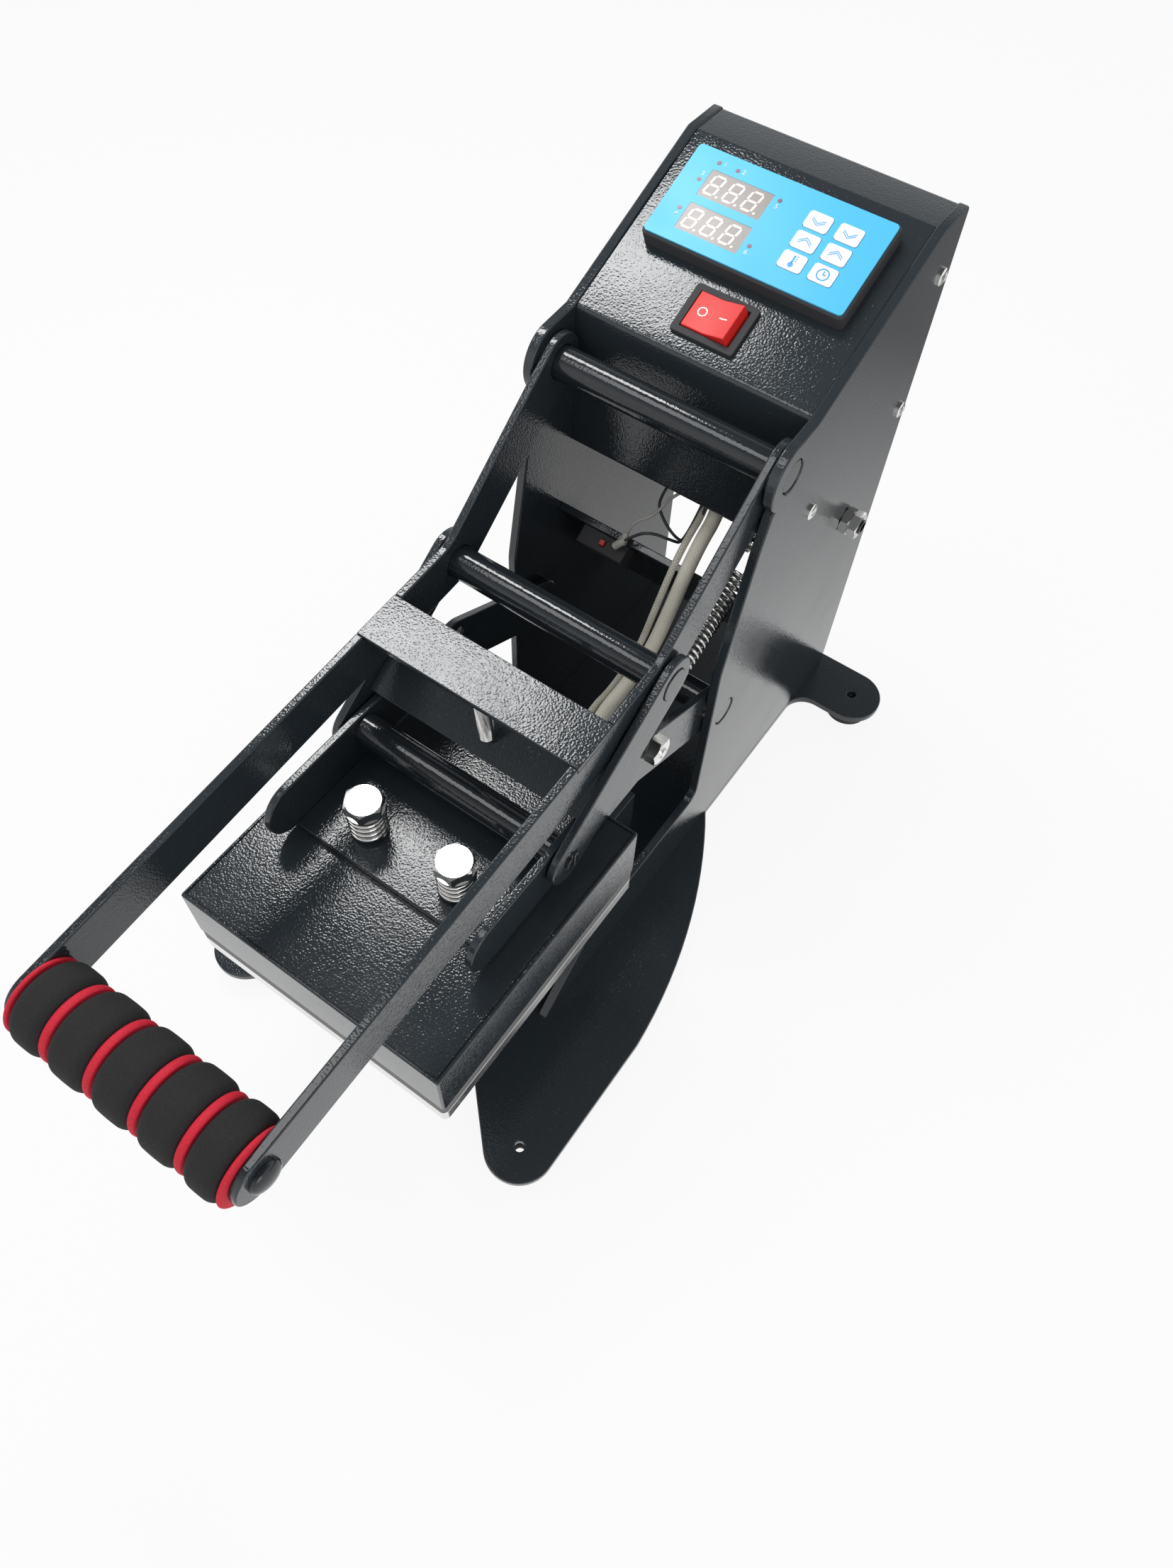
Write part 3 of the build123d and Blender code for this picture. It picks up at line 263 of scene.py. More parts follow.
def hexagon(across: float, low: float, high: float, origin: Triple, axis: Triple, both: bool = False,
            turned_by: float = 0.0) -> Surface:
    """Make a hexagonal head or nut whose corners are turned off to a cone.

    The radius at a turn is half the width over the cosine of the turn from the
    nearest flat. The top is a circle just inside the flats, and the edge below it
    drops by a share of what the radius is past that circle.

    Args:
        across: Width across the flats.
        low: Start along the axis.
        high: End along the axis.
        origin: Point where the distance along the axis is zero.
        axis: Direction of the axis.
        both: Whether the low end is turned off too.
        turned_by: Angle in degrees that the head is turned by about its axis.

    Returns:
        The head.
    """
    top_share, drop_share = 0.97, 0.55
    u, v, w = square_axes(axis)
    turn = round_turns(96) + radians(turned_by)
    flat = (turn - radians(turned_by) + pi / 6) % (pi / 3) - pi / 6
    corner = across / 2 / np.cos(flat)
    circle = np.full_like(turn, across / 2 * top_share)
    drop = drop_share * (corner - circle)
    rows = [(low + drop, corner), (high - drop, corner), (np.full_like(turn, high), circle)]
    if both:
        rows.insert(0, (np.full_like(turn, low), circle))
    else:
        rows[0] = (np.full_like(turn, low), corner)
    around = spokes(turn, u, v)
    rings = [np.asarray(origin, float) + z[:, None] * w + r[:, None] * around for z, r in rows]
    return sweep(np.stack(rings))


def threaded(radius: float, pitch: float, low: float, high: float, origin: Triple, axis: Triple) -> Surface:
    """Make a threaded rod with a pointed end.

    The radius falls by 0.3 of the pitch on a triangle wave of (height over pitch
    less the share of a turn), and by 0.22 of itself, eased in over the last pitch.

    Args:
        radius: Radius at the crest of the thread.
        pitch: Rise of the thread in one turn.
        low: Start along the axis.
        high: End along the axis, where the point is.
        origin: Point where the distance along the axis is zero.
        axis: Direction of the axis.

    Returns:
        The rod.
    """
    u, v, w = square_axes(axis)
    turn = round_turns(36)
    height = np.linspace(low, high, ceil(abs(high - low) / pitch * 8) + 2)
    phase = (height[:, None] / pitch - turn[None, :] / tau) % 1.0
    depth = 0.3 * pitch * np.abs(2 * phase - 1)
    tip = 0.22 * radius * smoothstep(high - pitch, high, height)[:, None]
    radii = (radius - depth - tip)[..., None]
    return sweep(np.asarray(origin, float) + height[:, None, None] * w + radii * spokes(turn, u, v))


def cross_head(radius: float, height: float, origin: Triple, axis: Triple) -> Surface:
    """Make a domed screw head with a cross recess.

    The dome's height at share s of the radius is the height times the root of
    (1 less s squared, over 1.25, plus 0.2). The cross presses it down by 0.6 of the
    height inside two crossed bars.

    Args:
        radius: Radius of the head.
        height: Height of the head.
        origin: Middle of the seat.
        axis: Direction that the head faces.

    Returns:
        The head.
    """
    u, v, w = square_axes(axis)
    turn = round_turns(80)
    share = np.concatenate([[1.0], np.linspace(1.0, 0.02, 26)])[:, None]
    dome = height * np.sqrt((1 - share**2) / 1.25 + 0.2)
    x = share * np.cos(turn)
    y = share * np.sin(turn)
    bars = [
        smoothstep(0.17, 0.1, np.abs(a)) * smoothstep(0.62, 0.5, np.abs(b)) for a, b in ((x, y), (y, x))
    ]
    rise = dome - 0.6 * height * np.maximum(*bars)
    rise[0] = 0.0
    around = x[..., None] * u + y[..., None] * v
    return sweep(np.asarray(origin, float) + rise[..., None] * w + radius * around)


def coil_spring(radius: float, wire: float, height: float, turns: float, foot: Triple) -> Surface:
    """Make a standing compression spring with closed ends.

    The wire's centre is at radius (cosine, sine) of the turn. Its height rises by
    a wire's width a turn over the first and last 0.8 turn, and evenly between.

    Args:
        radius: Radius of the coil at the middle of the wire.
        wire: Radius of the wire.
        height: Height of the spring over the wire.
        turns: Turns of the coil, the closed ends included.
        foot: Middle of the spring's foot.

    Returns:
        The spring.
    """
    shut = 0.8
    turn = np.linspace(0.0, turns, int(turns * 40))
    rise = 2 * wire * shut
    lift = np.interp(
        turn,
        [0.0, shut, turns - shut, turns],
        [wire, wire + rise, height - wire - rise, height - wire],
    )
    outward = np.stack([np.cos(turn * tau), np.sin(turn * tau), 0 * turn], -1)
    path = np.asarray(foot, float) + radius * outward + lift[:, None] * np.array(UPRIGHT, float)
    return tube(path, wire, outward, 12)


def hook_spring(start: Triple, end: Triple, across: Triple, radius: float, wire: float, pin: float,
                hook: float, turns: int) -> Surface:
    """Make a pulled spring that hooks round a pin at each end.

    Between the hooks the wire's centre is at radius (cosine, sine) of the turn
    while it moves evenly along. Each hook is a straight run to the side of its pin
    and then an arc of 250 degrees round it, 0.2 mm off the pin.

    Args:
        start: Middle of the first pin.
        end: Middle of the second pin.
        across: Direction of both pins.
        radius: Radius of the coil at the middle of the wire.
        wire: Radius of the wire.
        pin: Radius of the pins.
        hook: Length of each hook.
        turns: Whole turns of the coil.

    Returns:
        The spring.
    """
    along = np.asarray(end, float) - np.asarray(start, float)
    length = float(np.linalg.norm(along))
    w = along / length
    u = unit(across)
    v = np.cross(w, u)
    slack = 0.2
    loop = pin + wire + slack
    arc = np.radians(np.linspace(250.0, 0.0, 36))
    first = np.stack([-loop * np.sin(arc), 0 * arc, loop * np.cos(arc)], -1)
    first_out = np.stack([-np.sin(arc), 0 * arc, np.cos(arc)], -1)
    turn = np.linspace(0.0, turns * tau, turns * 24)
    middle = np.stack(
        [np.linspace(hook, length - hook, len(turn)), radius * np.sin(turn), radius * np.cos(turn)], -1
    )
    middle_out = np.stack([0 * turn, np.sin(turn), np.cos(turn)], -1)
    mirror = np.array([-1.0, 1.0, 1.0])
    last = first[::-1] * mirror + np.array([length, 0, 0])
    local = np.concatenate([first, middle, last])
    outward = np.concatenate([first_out, middle_out, first_out[::-1] * mirror])
    axes = np.stack([w, u, v])
    return tube(np.asarray(start, float) + local @ axes, wire, outward @ axes, 10)


def traced(curve: bpy.types.Curve) -> tuple[np.ndarray, bpy.types.Mesh]:
    """Turn a curve or a text into a mesh, and remove the curve.

    Args:
        curve: The curve, in metres.

    Returns:
        The mesh's points in millimetres, and the mesh.
    """
    carrier = bpy.data.objects.new(curve.name, curve)
    bpy.context.scene.collection.objects.link(carrier)
    bpy.context.view_layer.update()
    mesh = bpy.data.meshes.new_from_object(carrier)
    points = np.zeros(len(mesh.vertices) * 3)
    mesh.vertices.foreach_get("co", points)
    bpy.data.objects.remove(carrier)
    bpy.data.curves.remove(curve)
    return points.reshape(-1, 3) / MM, mesh


# Pieces


def make_piece(name: str, surface: Surface, finish: "Finish", body: Body | None,
               sharp: float = 38.0) -> Thing:
    """Turn a surface into a finished piece.

    Args:
        name: Name of the piece.
        surface: Its skin, in millimetres.
        finish: The finish that it gets.
        body: Body that it rides on, or none where the caller sees to it.
        sharp: Angle in degrees past which an edge stays sharp.

    Returns:
        The piece.
    """
    mesh = bpy.data.meshes.new(name)
    mesh.from_pydata((surface.points * MM).tolist(), [], surface.faces)
    layer = mesh.uv_layers.new(name="UVMap")
    layer.data.foreach_set("uv", surface.uvs.astype(np.float32).ravel())
    mesh.update()
    mesh.shade_smooth()
    mesh.set_sharp_from_angle(angle=radians(sharp))
    mesh.materials.append(finish.material())
    piece = bpy.data.objects.new(name, mesh)
    bpy.context.scene.collection.objects.link(piece)
    if body:
        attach(piece, body.value)
    return piece


def rounded_copy(frame: dict, node: str, finish: "Finish", body: Body, width: float) -> Thing:
    """Stand in for a CAD node with a merged copy of its mesh whose edges are rounded.

    Args:
        node: Name of the CAD node.
        finish: The finish that the copy gets.
        body: Body that it rides on.
        width: Width of the rounding in millimetres.

    Returns:
        The copy.
    """
    merge_gap, flat_angle, edge_angle, edge_steps = 0.002, 0.4, 32.0, 3
    mesh = frame["nodes"][node].data.copy()
    mesh.name = f"{node}_rounded"
    work = bmesh.new()
    work.from_mesh(mesh)
    bmesh.ops.remove_doubles(work, verts=work.verts, dist=merge_gap * MM)
    bmesh.ops.dissolve_limit(work, angle_limit=radians(flat_angle), verts=work.verts, edges=work.edges)
    work.to_mesh(mesh)
    work.free()
    for layer in [a.name for a in mesh.attributes if a.name in ("custom_normal", "sharp_face")]:
        mesh.attributes.remove(mesh.attributes[layer])
    mesh.shade_smooth()
    mesh.materials.clear()
    mesh.materials.append(finish.material())
    piece = bpy.data.objects.new(f"{node}_rounded", mesh)
    bpy.context.scene.collection.objects.link(piece)
    bevel = piece.modifiers.new("rounding", "BEVEL")
    bevel.width = width * MM
    bevel.segments = edge_steps
    bevel.limit_method = "ANGLE"
    bevel.angle_limit = radians(edge_angle)
    bevel.use_clamp_overlap = False
    bevel.harden_normals = True
    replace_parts(piece, node)
    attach(piece, body.value)
    return piece


def coat(frame: dict, node: str, finish: "Finish") -> None:
    """Give a CAD node itself a finish.

    Args:
        node: Name of the CAD node.
        finish: Its finish.
    """
    mesh = frame["nodes"][node].data
    mesh.materials.clear()
    mesh.materials.append(finish.material())


def dress(frame: dict, body: Body, finish: "Finish", nodes: dict[str, float]) -> None:
    """Give CAD nodes a finish, and rounded edges where a width is given.

    Args:
        body: Body that the nodes belong to.
        finish: Their finish.
        nodes: Rounding width in millimetres by node name, 0 to keep the node itself.
    """
    for node, width in nodes.items():
        if width:
            rounded_copy(frame, node, finish, body, width)
        else:
            coat(frame, node, finish)


# Shader groups


class Tree:
    """A short way to add and join the nodes of one material or group."""

    def __init__(self, tree: bpy.types.NodeTree) -> None:
        """Start from an empty tree."""
        tree.nodes.clear()
        self.tree = tree

    def add(self, kind: str, inputs: dict | None = None, **settings: object) -> Node:
        """Add a node.

        Args:
            kind: Blender's name of the node type, without the word ShaderNode.
            inputs: Value or socket for each input, by name or number.
            settings: Attributes of the node.

        Returns:
            The node.
        """
        prefix = "" if kind.startswith("NodeGroup") else "ShaderNode"
        node = self.tree.nodes.new(prefix + kind)
        for key, value in settings.items():
            setattr(node, key, value)
        for key, value in (inputs or {}).items():
            if isinstance(value, Socket):
                self.tree.links.new(value, node.inputs[key])
            else:
                node.inputs[key].default_value = value
        return node

    def math(self, operation: str, *values: object) -> Socket:
        """Add a Math node and give back its result."""
        return self.add("Math", dict(enumerate(values)), operation=operation).outputs[0]

    def wave(self, halves: object) -> Socket:
        """Add the sine of a number of half turns and give back the result."""
        return self.math("SINE", self.math("MULTIPLY", halves, pi))

    def ranged(self, value: object, low: float, high: float, start: float, end: float) -> Socket:
        """Map a value from one range to another, held inside it, and give back the result."""
        return self.add("MapRange", {0: value, 1: low, 2: high, 3: start, 4: end}).outputs[0]

    def noise(self, vector: object, scale: object, detail: float = 2.0) -> Socket:
        """Add a noise texture and give back its value."""
        return self.add("TexNoise", {"Vector": vector, "Scale": scale, "Detail": detail}).outputs["Fac"]

    def blend(self, share: object, first: object, second: object) -> Socket:
        """Mix two colours.

        Args:
            share: Share of the second colour.
            first: First colour.
            second: Second colour.

        Returns:
            The mixed colour.
        """
        node = self.add("Mix", data_type="RGBA")
        for socket, value in ((node.inputs[0], share), (node.inputs[6], first), (node.inputs[7], second)):
            if isinstance(value, Socket):
                self.tree.links.new(value, socket)
            else:
                socket.default_value = value
        return node.outputs[2]


def make_group(name: str, inputs: dict[str, float | None], outputs: Sequence[str],
               build: Callable[[Tree, dict], dict]) -> bpy.types.NodeTree:
    """Build a shader group once and give it back after that.

    Args:
        name: Name of the group.
        inputs: Default of each input, None for a vector.
        outputs: Names of its outputs, all values.
        build: Adds the nodes, given the tree and the input sockets by name.

    Returns:
        The group.
    """
    if name in bpy.data.node_groups:
        return bpy.data.node_groups[name]
    group = bpy.data.node_groups.new(name, "ShaderNodeTree")
    for key, default in inputs.items():
        kind = "NodeSocketVector" if default is None else "NodeSocketFloat"
        socket = group.interface.new_socket(name=key, in_out="INPUT", socket_type=kind)
        if default is not None:
            socket.default_value = default
    for key in outputs:
        group.interface.new_socket(name=key, in_out="OUTPUT", socket_type="NodeSocketFloat")
    tree = Tree(group)
    results = build(tree, {s.name: s for s in tree.add("NodeGroupInput").outputs if s.name})
    tree.add("NodeGroupOutput", results)
    return group


def peel_nodes(tree: Tree, given: dict) -> dict:
    """Height of cured powder paint: small round cells over a slower waviness.

    Args:
        tree: Tree of the group.
        given: Its input sockets by name: Vector, and Cells in a metre.

    Returns:
        Output values by name.
    """
    fine = tree.noise(given["Vector"], given["Cells"], 1.5)
    cells = tree.add(
        "TexVoronoi",
        {"Vector": given["Vector"], "Scale": given["Cells"], "Smoothness": 0.6},
        feature="SMOOTH_F1",
    ).outputs["Distance"]
    slow = tree.noise(given["Vector"], tree.math("MULTIPLY", given["Cells"], 0.2), 1.0)
    lumps = tree.math("MULTIPLY_ADD", cells, -0.7, fine)
    return {"Height": tree.math("MULTIPLY_ADD", slow, 0.3, lumps)}


def dust_nodes(tree: Tree, given: dict) -> dict:
    """Masks of haze in wide clouds and of small pale specks.

    Args:
        tree: Tree of the group.
        given: Its input sockets by name: Vector.

    Returns:
        Output values by name.
    """
    cloud = tree.ranged(tree.noise(given["Vector"], 22.0, 4.0), 0.4, 0.75, 0.0, 1.0)
    specks = tree.ranged(tree.noise(given["Vector"], 900.0, 1.0), 0.74, 0.8, 0.0, 1.0)
    return {"Cloud": cloud, "Specks": tree.math("MULTIPLY", specks, cloud)}


def brush_nodes(tree: Tree, given: dict) -> dict:
    """Height of fine drawn lines: noise stretched along one direction.

    Args:
        tree: Tree of the group.
        given: Its input sockets by name: Vector, and Stretch along each axis.

    Returns:
        Output values by name.
    """
    scaled = tree.add(
        "VectorMath", {0: given["Vector"], 1: given["Stretch"]}, operation="MULTIPLY"
    ).outputs[0]
    return {"Height": tree.noise(scaled, 1.0, 3.0)}


def weave_nodes(tree: Tree, given: dict) -> dict:
    """Height of a round braid: two sets of slanted yarns that pass over each other in turn.

    A yarn's height is the size of the sine of half turns in the sum, or for the
    other set the difference, of the crossings along and the yarns around. Which
    set is on top follows the product of the two directions' sines.

    Args:
        tree: Tree of the group.
        given: Its input sockets by name: Place, Along and Around.

    Returns:
        Output values by name.
    """
    split = tree.add("SeparateXYZ", {0: given["Place"]})
    along = tree.math("MULTIPLY", split.outputs[0], given["Along"])
    around = tree.math("MULTIPLY", split.outputs[1], given["Around"])
    first = tree.math("ABSOLUTE", tree.wave(tree.math("ADD", along, around)))
    second = tree.math("ABSOLUTE", tree.wave(tree.math("SUBTRACT", along, around)))
    over = tree.math("MULTIPLY", tree.wave(along), tree.wave(around))
    share = tree.ranged(over, -0.15, 0.15, 0.0, 1.0)
    height = tree.add("Mix", {0: share, 2: first, 3: second}, data_type="FLOAT").outputs[0]
    return {"Height": tree.math("POWER", height, 0.6)}


# Finishes


SPECK_GREY = (0.6, 0.6, 0.58, 1.0)
COAT_ROUGH = 0.06


@dataclass(frozen=True)
class Finish:
    """A plain finish with a slight cloudiness in its gloss.

    Attributes:
        name: Name of the material.
        slot: Material slot of the record, or empty; not used.
        colour: Base colour, linear.
        rough: Roughness in the middle of its range.
        metal: 1 for bare metal.
        coat: Weight of a clear coat.
    """

    name: str
    slot: str
    colour: Triple
    rough: float
    metal: float = 0.0
    coat: float = 0.0

    def material(self) -> bpy.types.Material:
        """Build the material once and give it back after that."""
        if self.name in bpy.data.materials:
            return bpy.data.materials[self.name]
        material = bpy.data.materials.new(self.name)
        material.use_nodes = True
        tree = Tree(material.node_tree)
        shader = tree.add(
            "BsdfPrincipled",
            {
                "Base Color": (*self.colour, 1.0),
                "Roughness": self.rough,
                "Metallic": self.metal,
                "Coat Weight": self.coat,
                "Coat Roughness": COAT_ROUGH,
            },
        )
        tree.add("OutputMaterial", {"Surface": shader.outputs[0]})
        place = tree.add("TexCoord").outputs["Object"]
        self.detail(tree, shader, place)
        return material

    def detail(self, tree: Tree, shader: Node, place: Socket) -> None:
        """Vary the gloss in clouds, and lay dust on the colour.

        Args:
            tree: Tree of the material.
            shader: Its Principled node.
            place: Place on the object.
        """
        dust = self.dust(tree, place)
        self.haze(tree, shader, dust, 0.05, 0.1)

    def haze(self, tree: Tree, shader: Node, dust: Node, gloss: float, pale: float) -> None:
        """Join the dust masks to the shader.

        Args:
            tree: Tree of the material.
            shader: Its Principled node.
            dust: The dust group's node.
            gloss: How far the roughness swings either way.
            pale: How much of the specks' grey shows.
        """
        rough = tree.ranged(dust.outputs["Cloud"], 0.0, 1.0, self.rough - gloss, self.rough + gloss)
        tree.tree.links.new(rough, shader.inputs["Roughness"])
        share = tree.math("MULTIPLY", dust.outputs["Specks"], pale)
        colour = tree.blend(share, (*self.colour, 1.0), SPECK_GREY)
        tree.tree.links.new(colour, shader.inputs["Base Color"])

    @staticmethod
    def dust(tree: Tree, place: Socket) -> Node:
        """Add the dust masks and give back their node."""
        group = make_group("dust", {"Vector": None}, ["Cloud", "Specks"], dust_nodes)
        return tree.add("Group", {"Vector": place}, node_tree=group)

    @staticmethod
    def bump(tree: Tree, shader: Node, height: Socket, depth: float) -> None:
        """Join a height to the shader's normal.

        Args:
            tree: Tree of the material.
            shader: Its Principled node.
            height: Height from 0 to about 1.
            depth: Depth in millimetres of a height of 1.
        """
        bump = tree.add("Bump", {"Strength": 1.0, "Distance": depth * MM, "Height": height})
        tree.tree.links.new(bump.outputs[0], shader.inputs["Normal"])


@dataclass(frozen=True)
class PaintFinish(Finish):
    """Powder paint with an orange-peel surface.

    Attributes:
        cells: Cells of the peel in a metre.
        depth: Depth of the peel in millimetres.
    """

    cells: float = 950.0
    depth: float = 0.08

    def detail(self, tree: Tree, shader: Node, place: Socket) -> None:
        """Add the peel and a little dust.

        Args:
            tree: Tree of the material.
            shader: Its Principled node.
            place: Place on the object.
        """
        peel = make_group("peel", {"Vector": None, "Cells": 700.0}, ["Height"], peel_nodes)
        height = tree.add("Group", {"Vector": place, "Cells": self.cells}, node_tree=peel).outputs["Height"]
        self.bump(tree, shader, height, self.depth)
        dust = self.dust(tree, place)
        self.haze(tree, shader, dust, 0.05, 0.25)


@dataclass(frozen=True)
class MetalFinish(Finish):
    """Bare or plated metal with fine lines along one direction.

    Attributes:
        stretch: Lines in a metre along each axis, low along the lines.
        depth: Depth of the lines in millimetres.
    """

    stretch: Triple = (900.0, 900.0, 900.0)
    depth: float = 0.004

    def detail(self, tree: Tree, shader: Node, place: Socket) -> None:
        """Add the lines and a cloudy gloss.

        Args:
            tree: Tree of the material.
            shader: Its Principled node.
            place: Place on the object.
        """
        lines = make_group("brush", {"Vector": None, "Stretch": None}, ["Height"], brush_nodes)
        stretch = tree.add("CombineXYZ", dict(enumerate(self.stretch))).outputs[0]
        height = tree.add("Group", {"Vector": place, "Stretch": stretch}, node_tree=lines).outputs["Height"]
        self.bump(tree, shader, height, self.depth)
        dust = self.dust(tree, place)
        rough = tree.ranged(dust.outputs["Cloud"], 0.0, 1.0, self.rough * 0.7, self.rough * 1.5)
        tree.tree.links.new(rough, shader.inputs["Roughness"])


@dataclass(frozen=True)
class FoamFinish(Finish):
    """Closed-cell foam or rubber with fine open pores.

    Attributes:
        pores: Pores in a metre.
        depth: Depth of the pores in millimetres.
    """

    pores: float = 1500.0
    depth: float = 0.12

    def detail(self, tree: Tree, shader: Node, place: Socket) -> None:
        """Add the pores, painted shade in their pits that leaves the rims between them paler, and dust.

        Args:
            tree: Tree of the material.
            shader: Its Principled node.
            place: Place on the object.
        """
        cells = tree.add("TexVoronoi", {"Vector": place, "Scale": self.pores}).outputs["Distance"]
        self.bump(tree, shader, tree.math("MULTIPLY", cells, cells), self.depth)
        dust = self.dust(tree, place)
        # Painted shade: the colour stays at the base colour in the pits of the pores, where the bump is low,
        # and pales towards the rims; dust specks are added on top.
        rim = tree.ranged(cells, 0.1, 0.8, 0.0, 0.55)
        share = tree.math("MULTIPLY_ADD", dust.outputs["Specks"], 0.3, rim)
        lighter = tuple(min(1.0, 1.9 * c + 0.004) for c in self.colour)
        colour = tree.blend(share, (*self.colour, 1.0), (*lighter, 1.0))
        tree.tree.links.new(colour, shader.inputs["Base Color"])


@dataclass(frozen=True)
class WovenFinish(Finish):
    """Braided yarn or wire round a cable, laid out on the cable's own texture places.

    Attributes:
        along: Crossings in a millimetre along the cable.
        around: Yarns round the cable, an even number.
        depth: Height of a yarn in millimetres.
        gap: Colour down between the yarns.
    """

    along: float = 0.8
    around: float = 16.0
    depth: float = 0.2
    gap: Triple = (0.2, 0.18, 0.13)

    def detail(self, tree: Tree, shader: Node, place: Socket) -> None:
        """Add the braid's height and the shade between its yarns.

        Args:
            tree: Tree of the material.
            shader: Its Principled node.
            place: Place on the object.
        """
        weave = make_group("weave", {"Place": None, "Along": 1.0, "Around": 16.0}, ["Height"], weave_nodes)
        uv = tree.add("TexCoord").outputs["UV"]
        height = tree.add(
            "Group", {"Place": uv, "Along": self.along, "Around": self.around}, node_tree=weave
        ).outputs["Height"]
        self.bump(tree, shader, height, self.depth)
        share = tree.ranged(height, 0.1, 0.75, 0.0, 1.0)
        stain = tree.ranged(tree.noise(place, 90.0, 3.0), 0.35, 0.75, 1.0, 0.72)
        colour = tree.blend(tree.math("MULTIPLY", share, stain), (*self.gap, 1.0), (*self.colour, 1.0))
        tree.tree.links.new(colour, shader.inputs["Base Color"])


PAINT = PaintFinish("black_powder_paint", "black_paint", (0.024, 0.031, 0.037), 0.14)
ROD = PaintFinish("rod_gloss_paint", "black_rod", (0.014, 0.018, 0.022), 0.12, depth=0.03)
ZINC = MetalFinish("bright_zinc", "zinc", (0.8, 0.8, 0.78), 0.16, 1.0)
SPRING = MetalFinish("bright_spring_wire", "spring_wire", (0.55, 0.55, 0.54), 0.14, 1.0)
CAST = MetalFinish(
    "milled_aluminium", "aluminium", (0.78, 0.78, 0.77), 0.28, 1.0, stretch=(40.0, 2200.0, 40.0)
)
FOAM = FoamFinish("black_foam", "foam", (0.012, 0.012, 0.013), 0.9)
RED_FOAM = FoamFinish("red_foam", "ring_red", (0.5, 0.006, 0.025), 0.7, pores=1800.0, depth=0.06)
RUBBER = FoamFinish("black_rubber", "rubber", (0.02, 0.02, 0.02), 0.75, depth=0.03)
SILICONE = FoamFinish("silicone_sheet", "silicone", (0.11, 0.11, 0.11), 0.6, depth=0.02)
WOOL = FoamFinish("pressed_fibre", "insulation", (0.62, 0.58, 0.48), 0.95)
SLEEVE = WovenFinish(
    "glass_sleeve", "sleeve", (0.82, 0.79, 0.68), 0.6, along=0.9, around=24.0, depth=0.08,
    gap=(0.5, 0.47, 0.38),
)
BRAID = WovenFinish(
    "cable_braid", "sensor_braid", (0.76, 0.73, 0.63), 0.5, along=1.1, around=10.0, depth=0.14,
    gap=(0.05, 0.045, 0.035),
)
PALE_WIRE = WovenFinish(
    "pale_wire", "sensor_braid", (0.5, 0.5, 0.47), 0.5, along=1.6, around=8.0, depth=0.08,
    gap=(0.1, 0.1, 0.09),
)
DARK_WIRE = Finish("dark_wire", "black_plastic", (0.035, 0.037, 0.04), 0.35)
CRIMP = Finish("clear_crimp_sleeve", "window", (0.45, 0.44, 0.4), 0.25)
PLASTIC = PaintFinish(
    "black_plastic", "black_plastic", (0.012, 0.012, 0.013), 0.38, cells=1800.0, depth=0.008
)
FILM = Finish("blue_film", "face_blue", (0.06, 0.53, 0.88), 0.4)
KEY = Finish("white_key", "key_white", (0.86, 0.9, 0.95), 0.35)
WINDOW = Finish("smoked_window", "window", (0.29, 0.26, 0.245), 0.3)
SEGMENT = Finish("pale_segment", "window", (0.72, 0.69, 0.66), 0.3)
PRINT_BLUE = Finish("blue_print", "face_blue", (0.07, 0.4, 0.8), 0.4)
PRINT_WHITE = Finish("white_print", "key_white", (0.9, 0.93, 0.95), 0.4)
LAMP = Finish("dark_red_lamp", "lamp_red", (0.2, 0.09, 0.14), 0.3)
ROCKER = Finish("red_rocker", "rocker_red", (0.75, 0.02, 0.016), 0.5)
PLUNGER = Finish("red_plunger", "rocker_red", (0.5, 0.01, 0.008), 0.35)


# Sub-assemblies


@dataclass
class Linkage:
    """Pivot points (y, z) and half widths that several sub-assemblies share."""

    knee: tuple[float, float] = (27.0, 217.0)
    carriage: tuple[float, float] = (90.0, 127.0)
    grip: tuple[float, float] = (-229.0, 199.0)
    plate_x: float = 65.5
    arm_x: float = 59.5
    arm_inner_x: float = 55.5

    @staticmethod
    def direction(start: tuple[float, float], end: tuple[float, float]) -> np.ndarray:
        """Unit direction in three dimensions from one pivot to another."""
        return unit((0.0, end[0] - start[0], end[1] - start[1]))


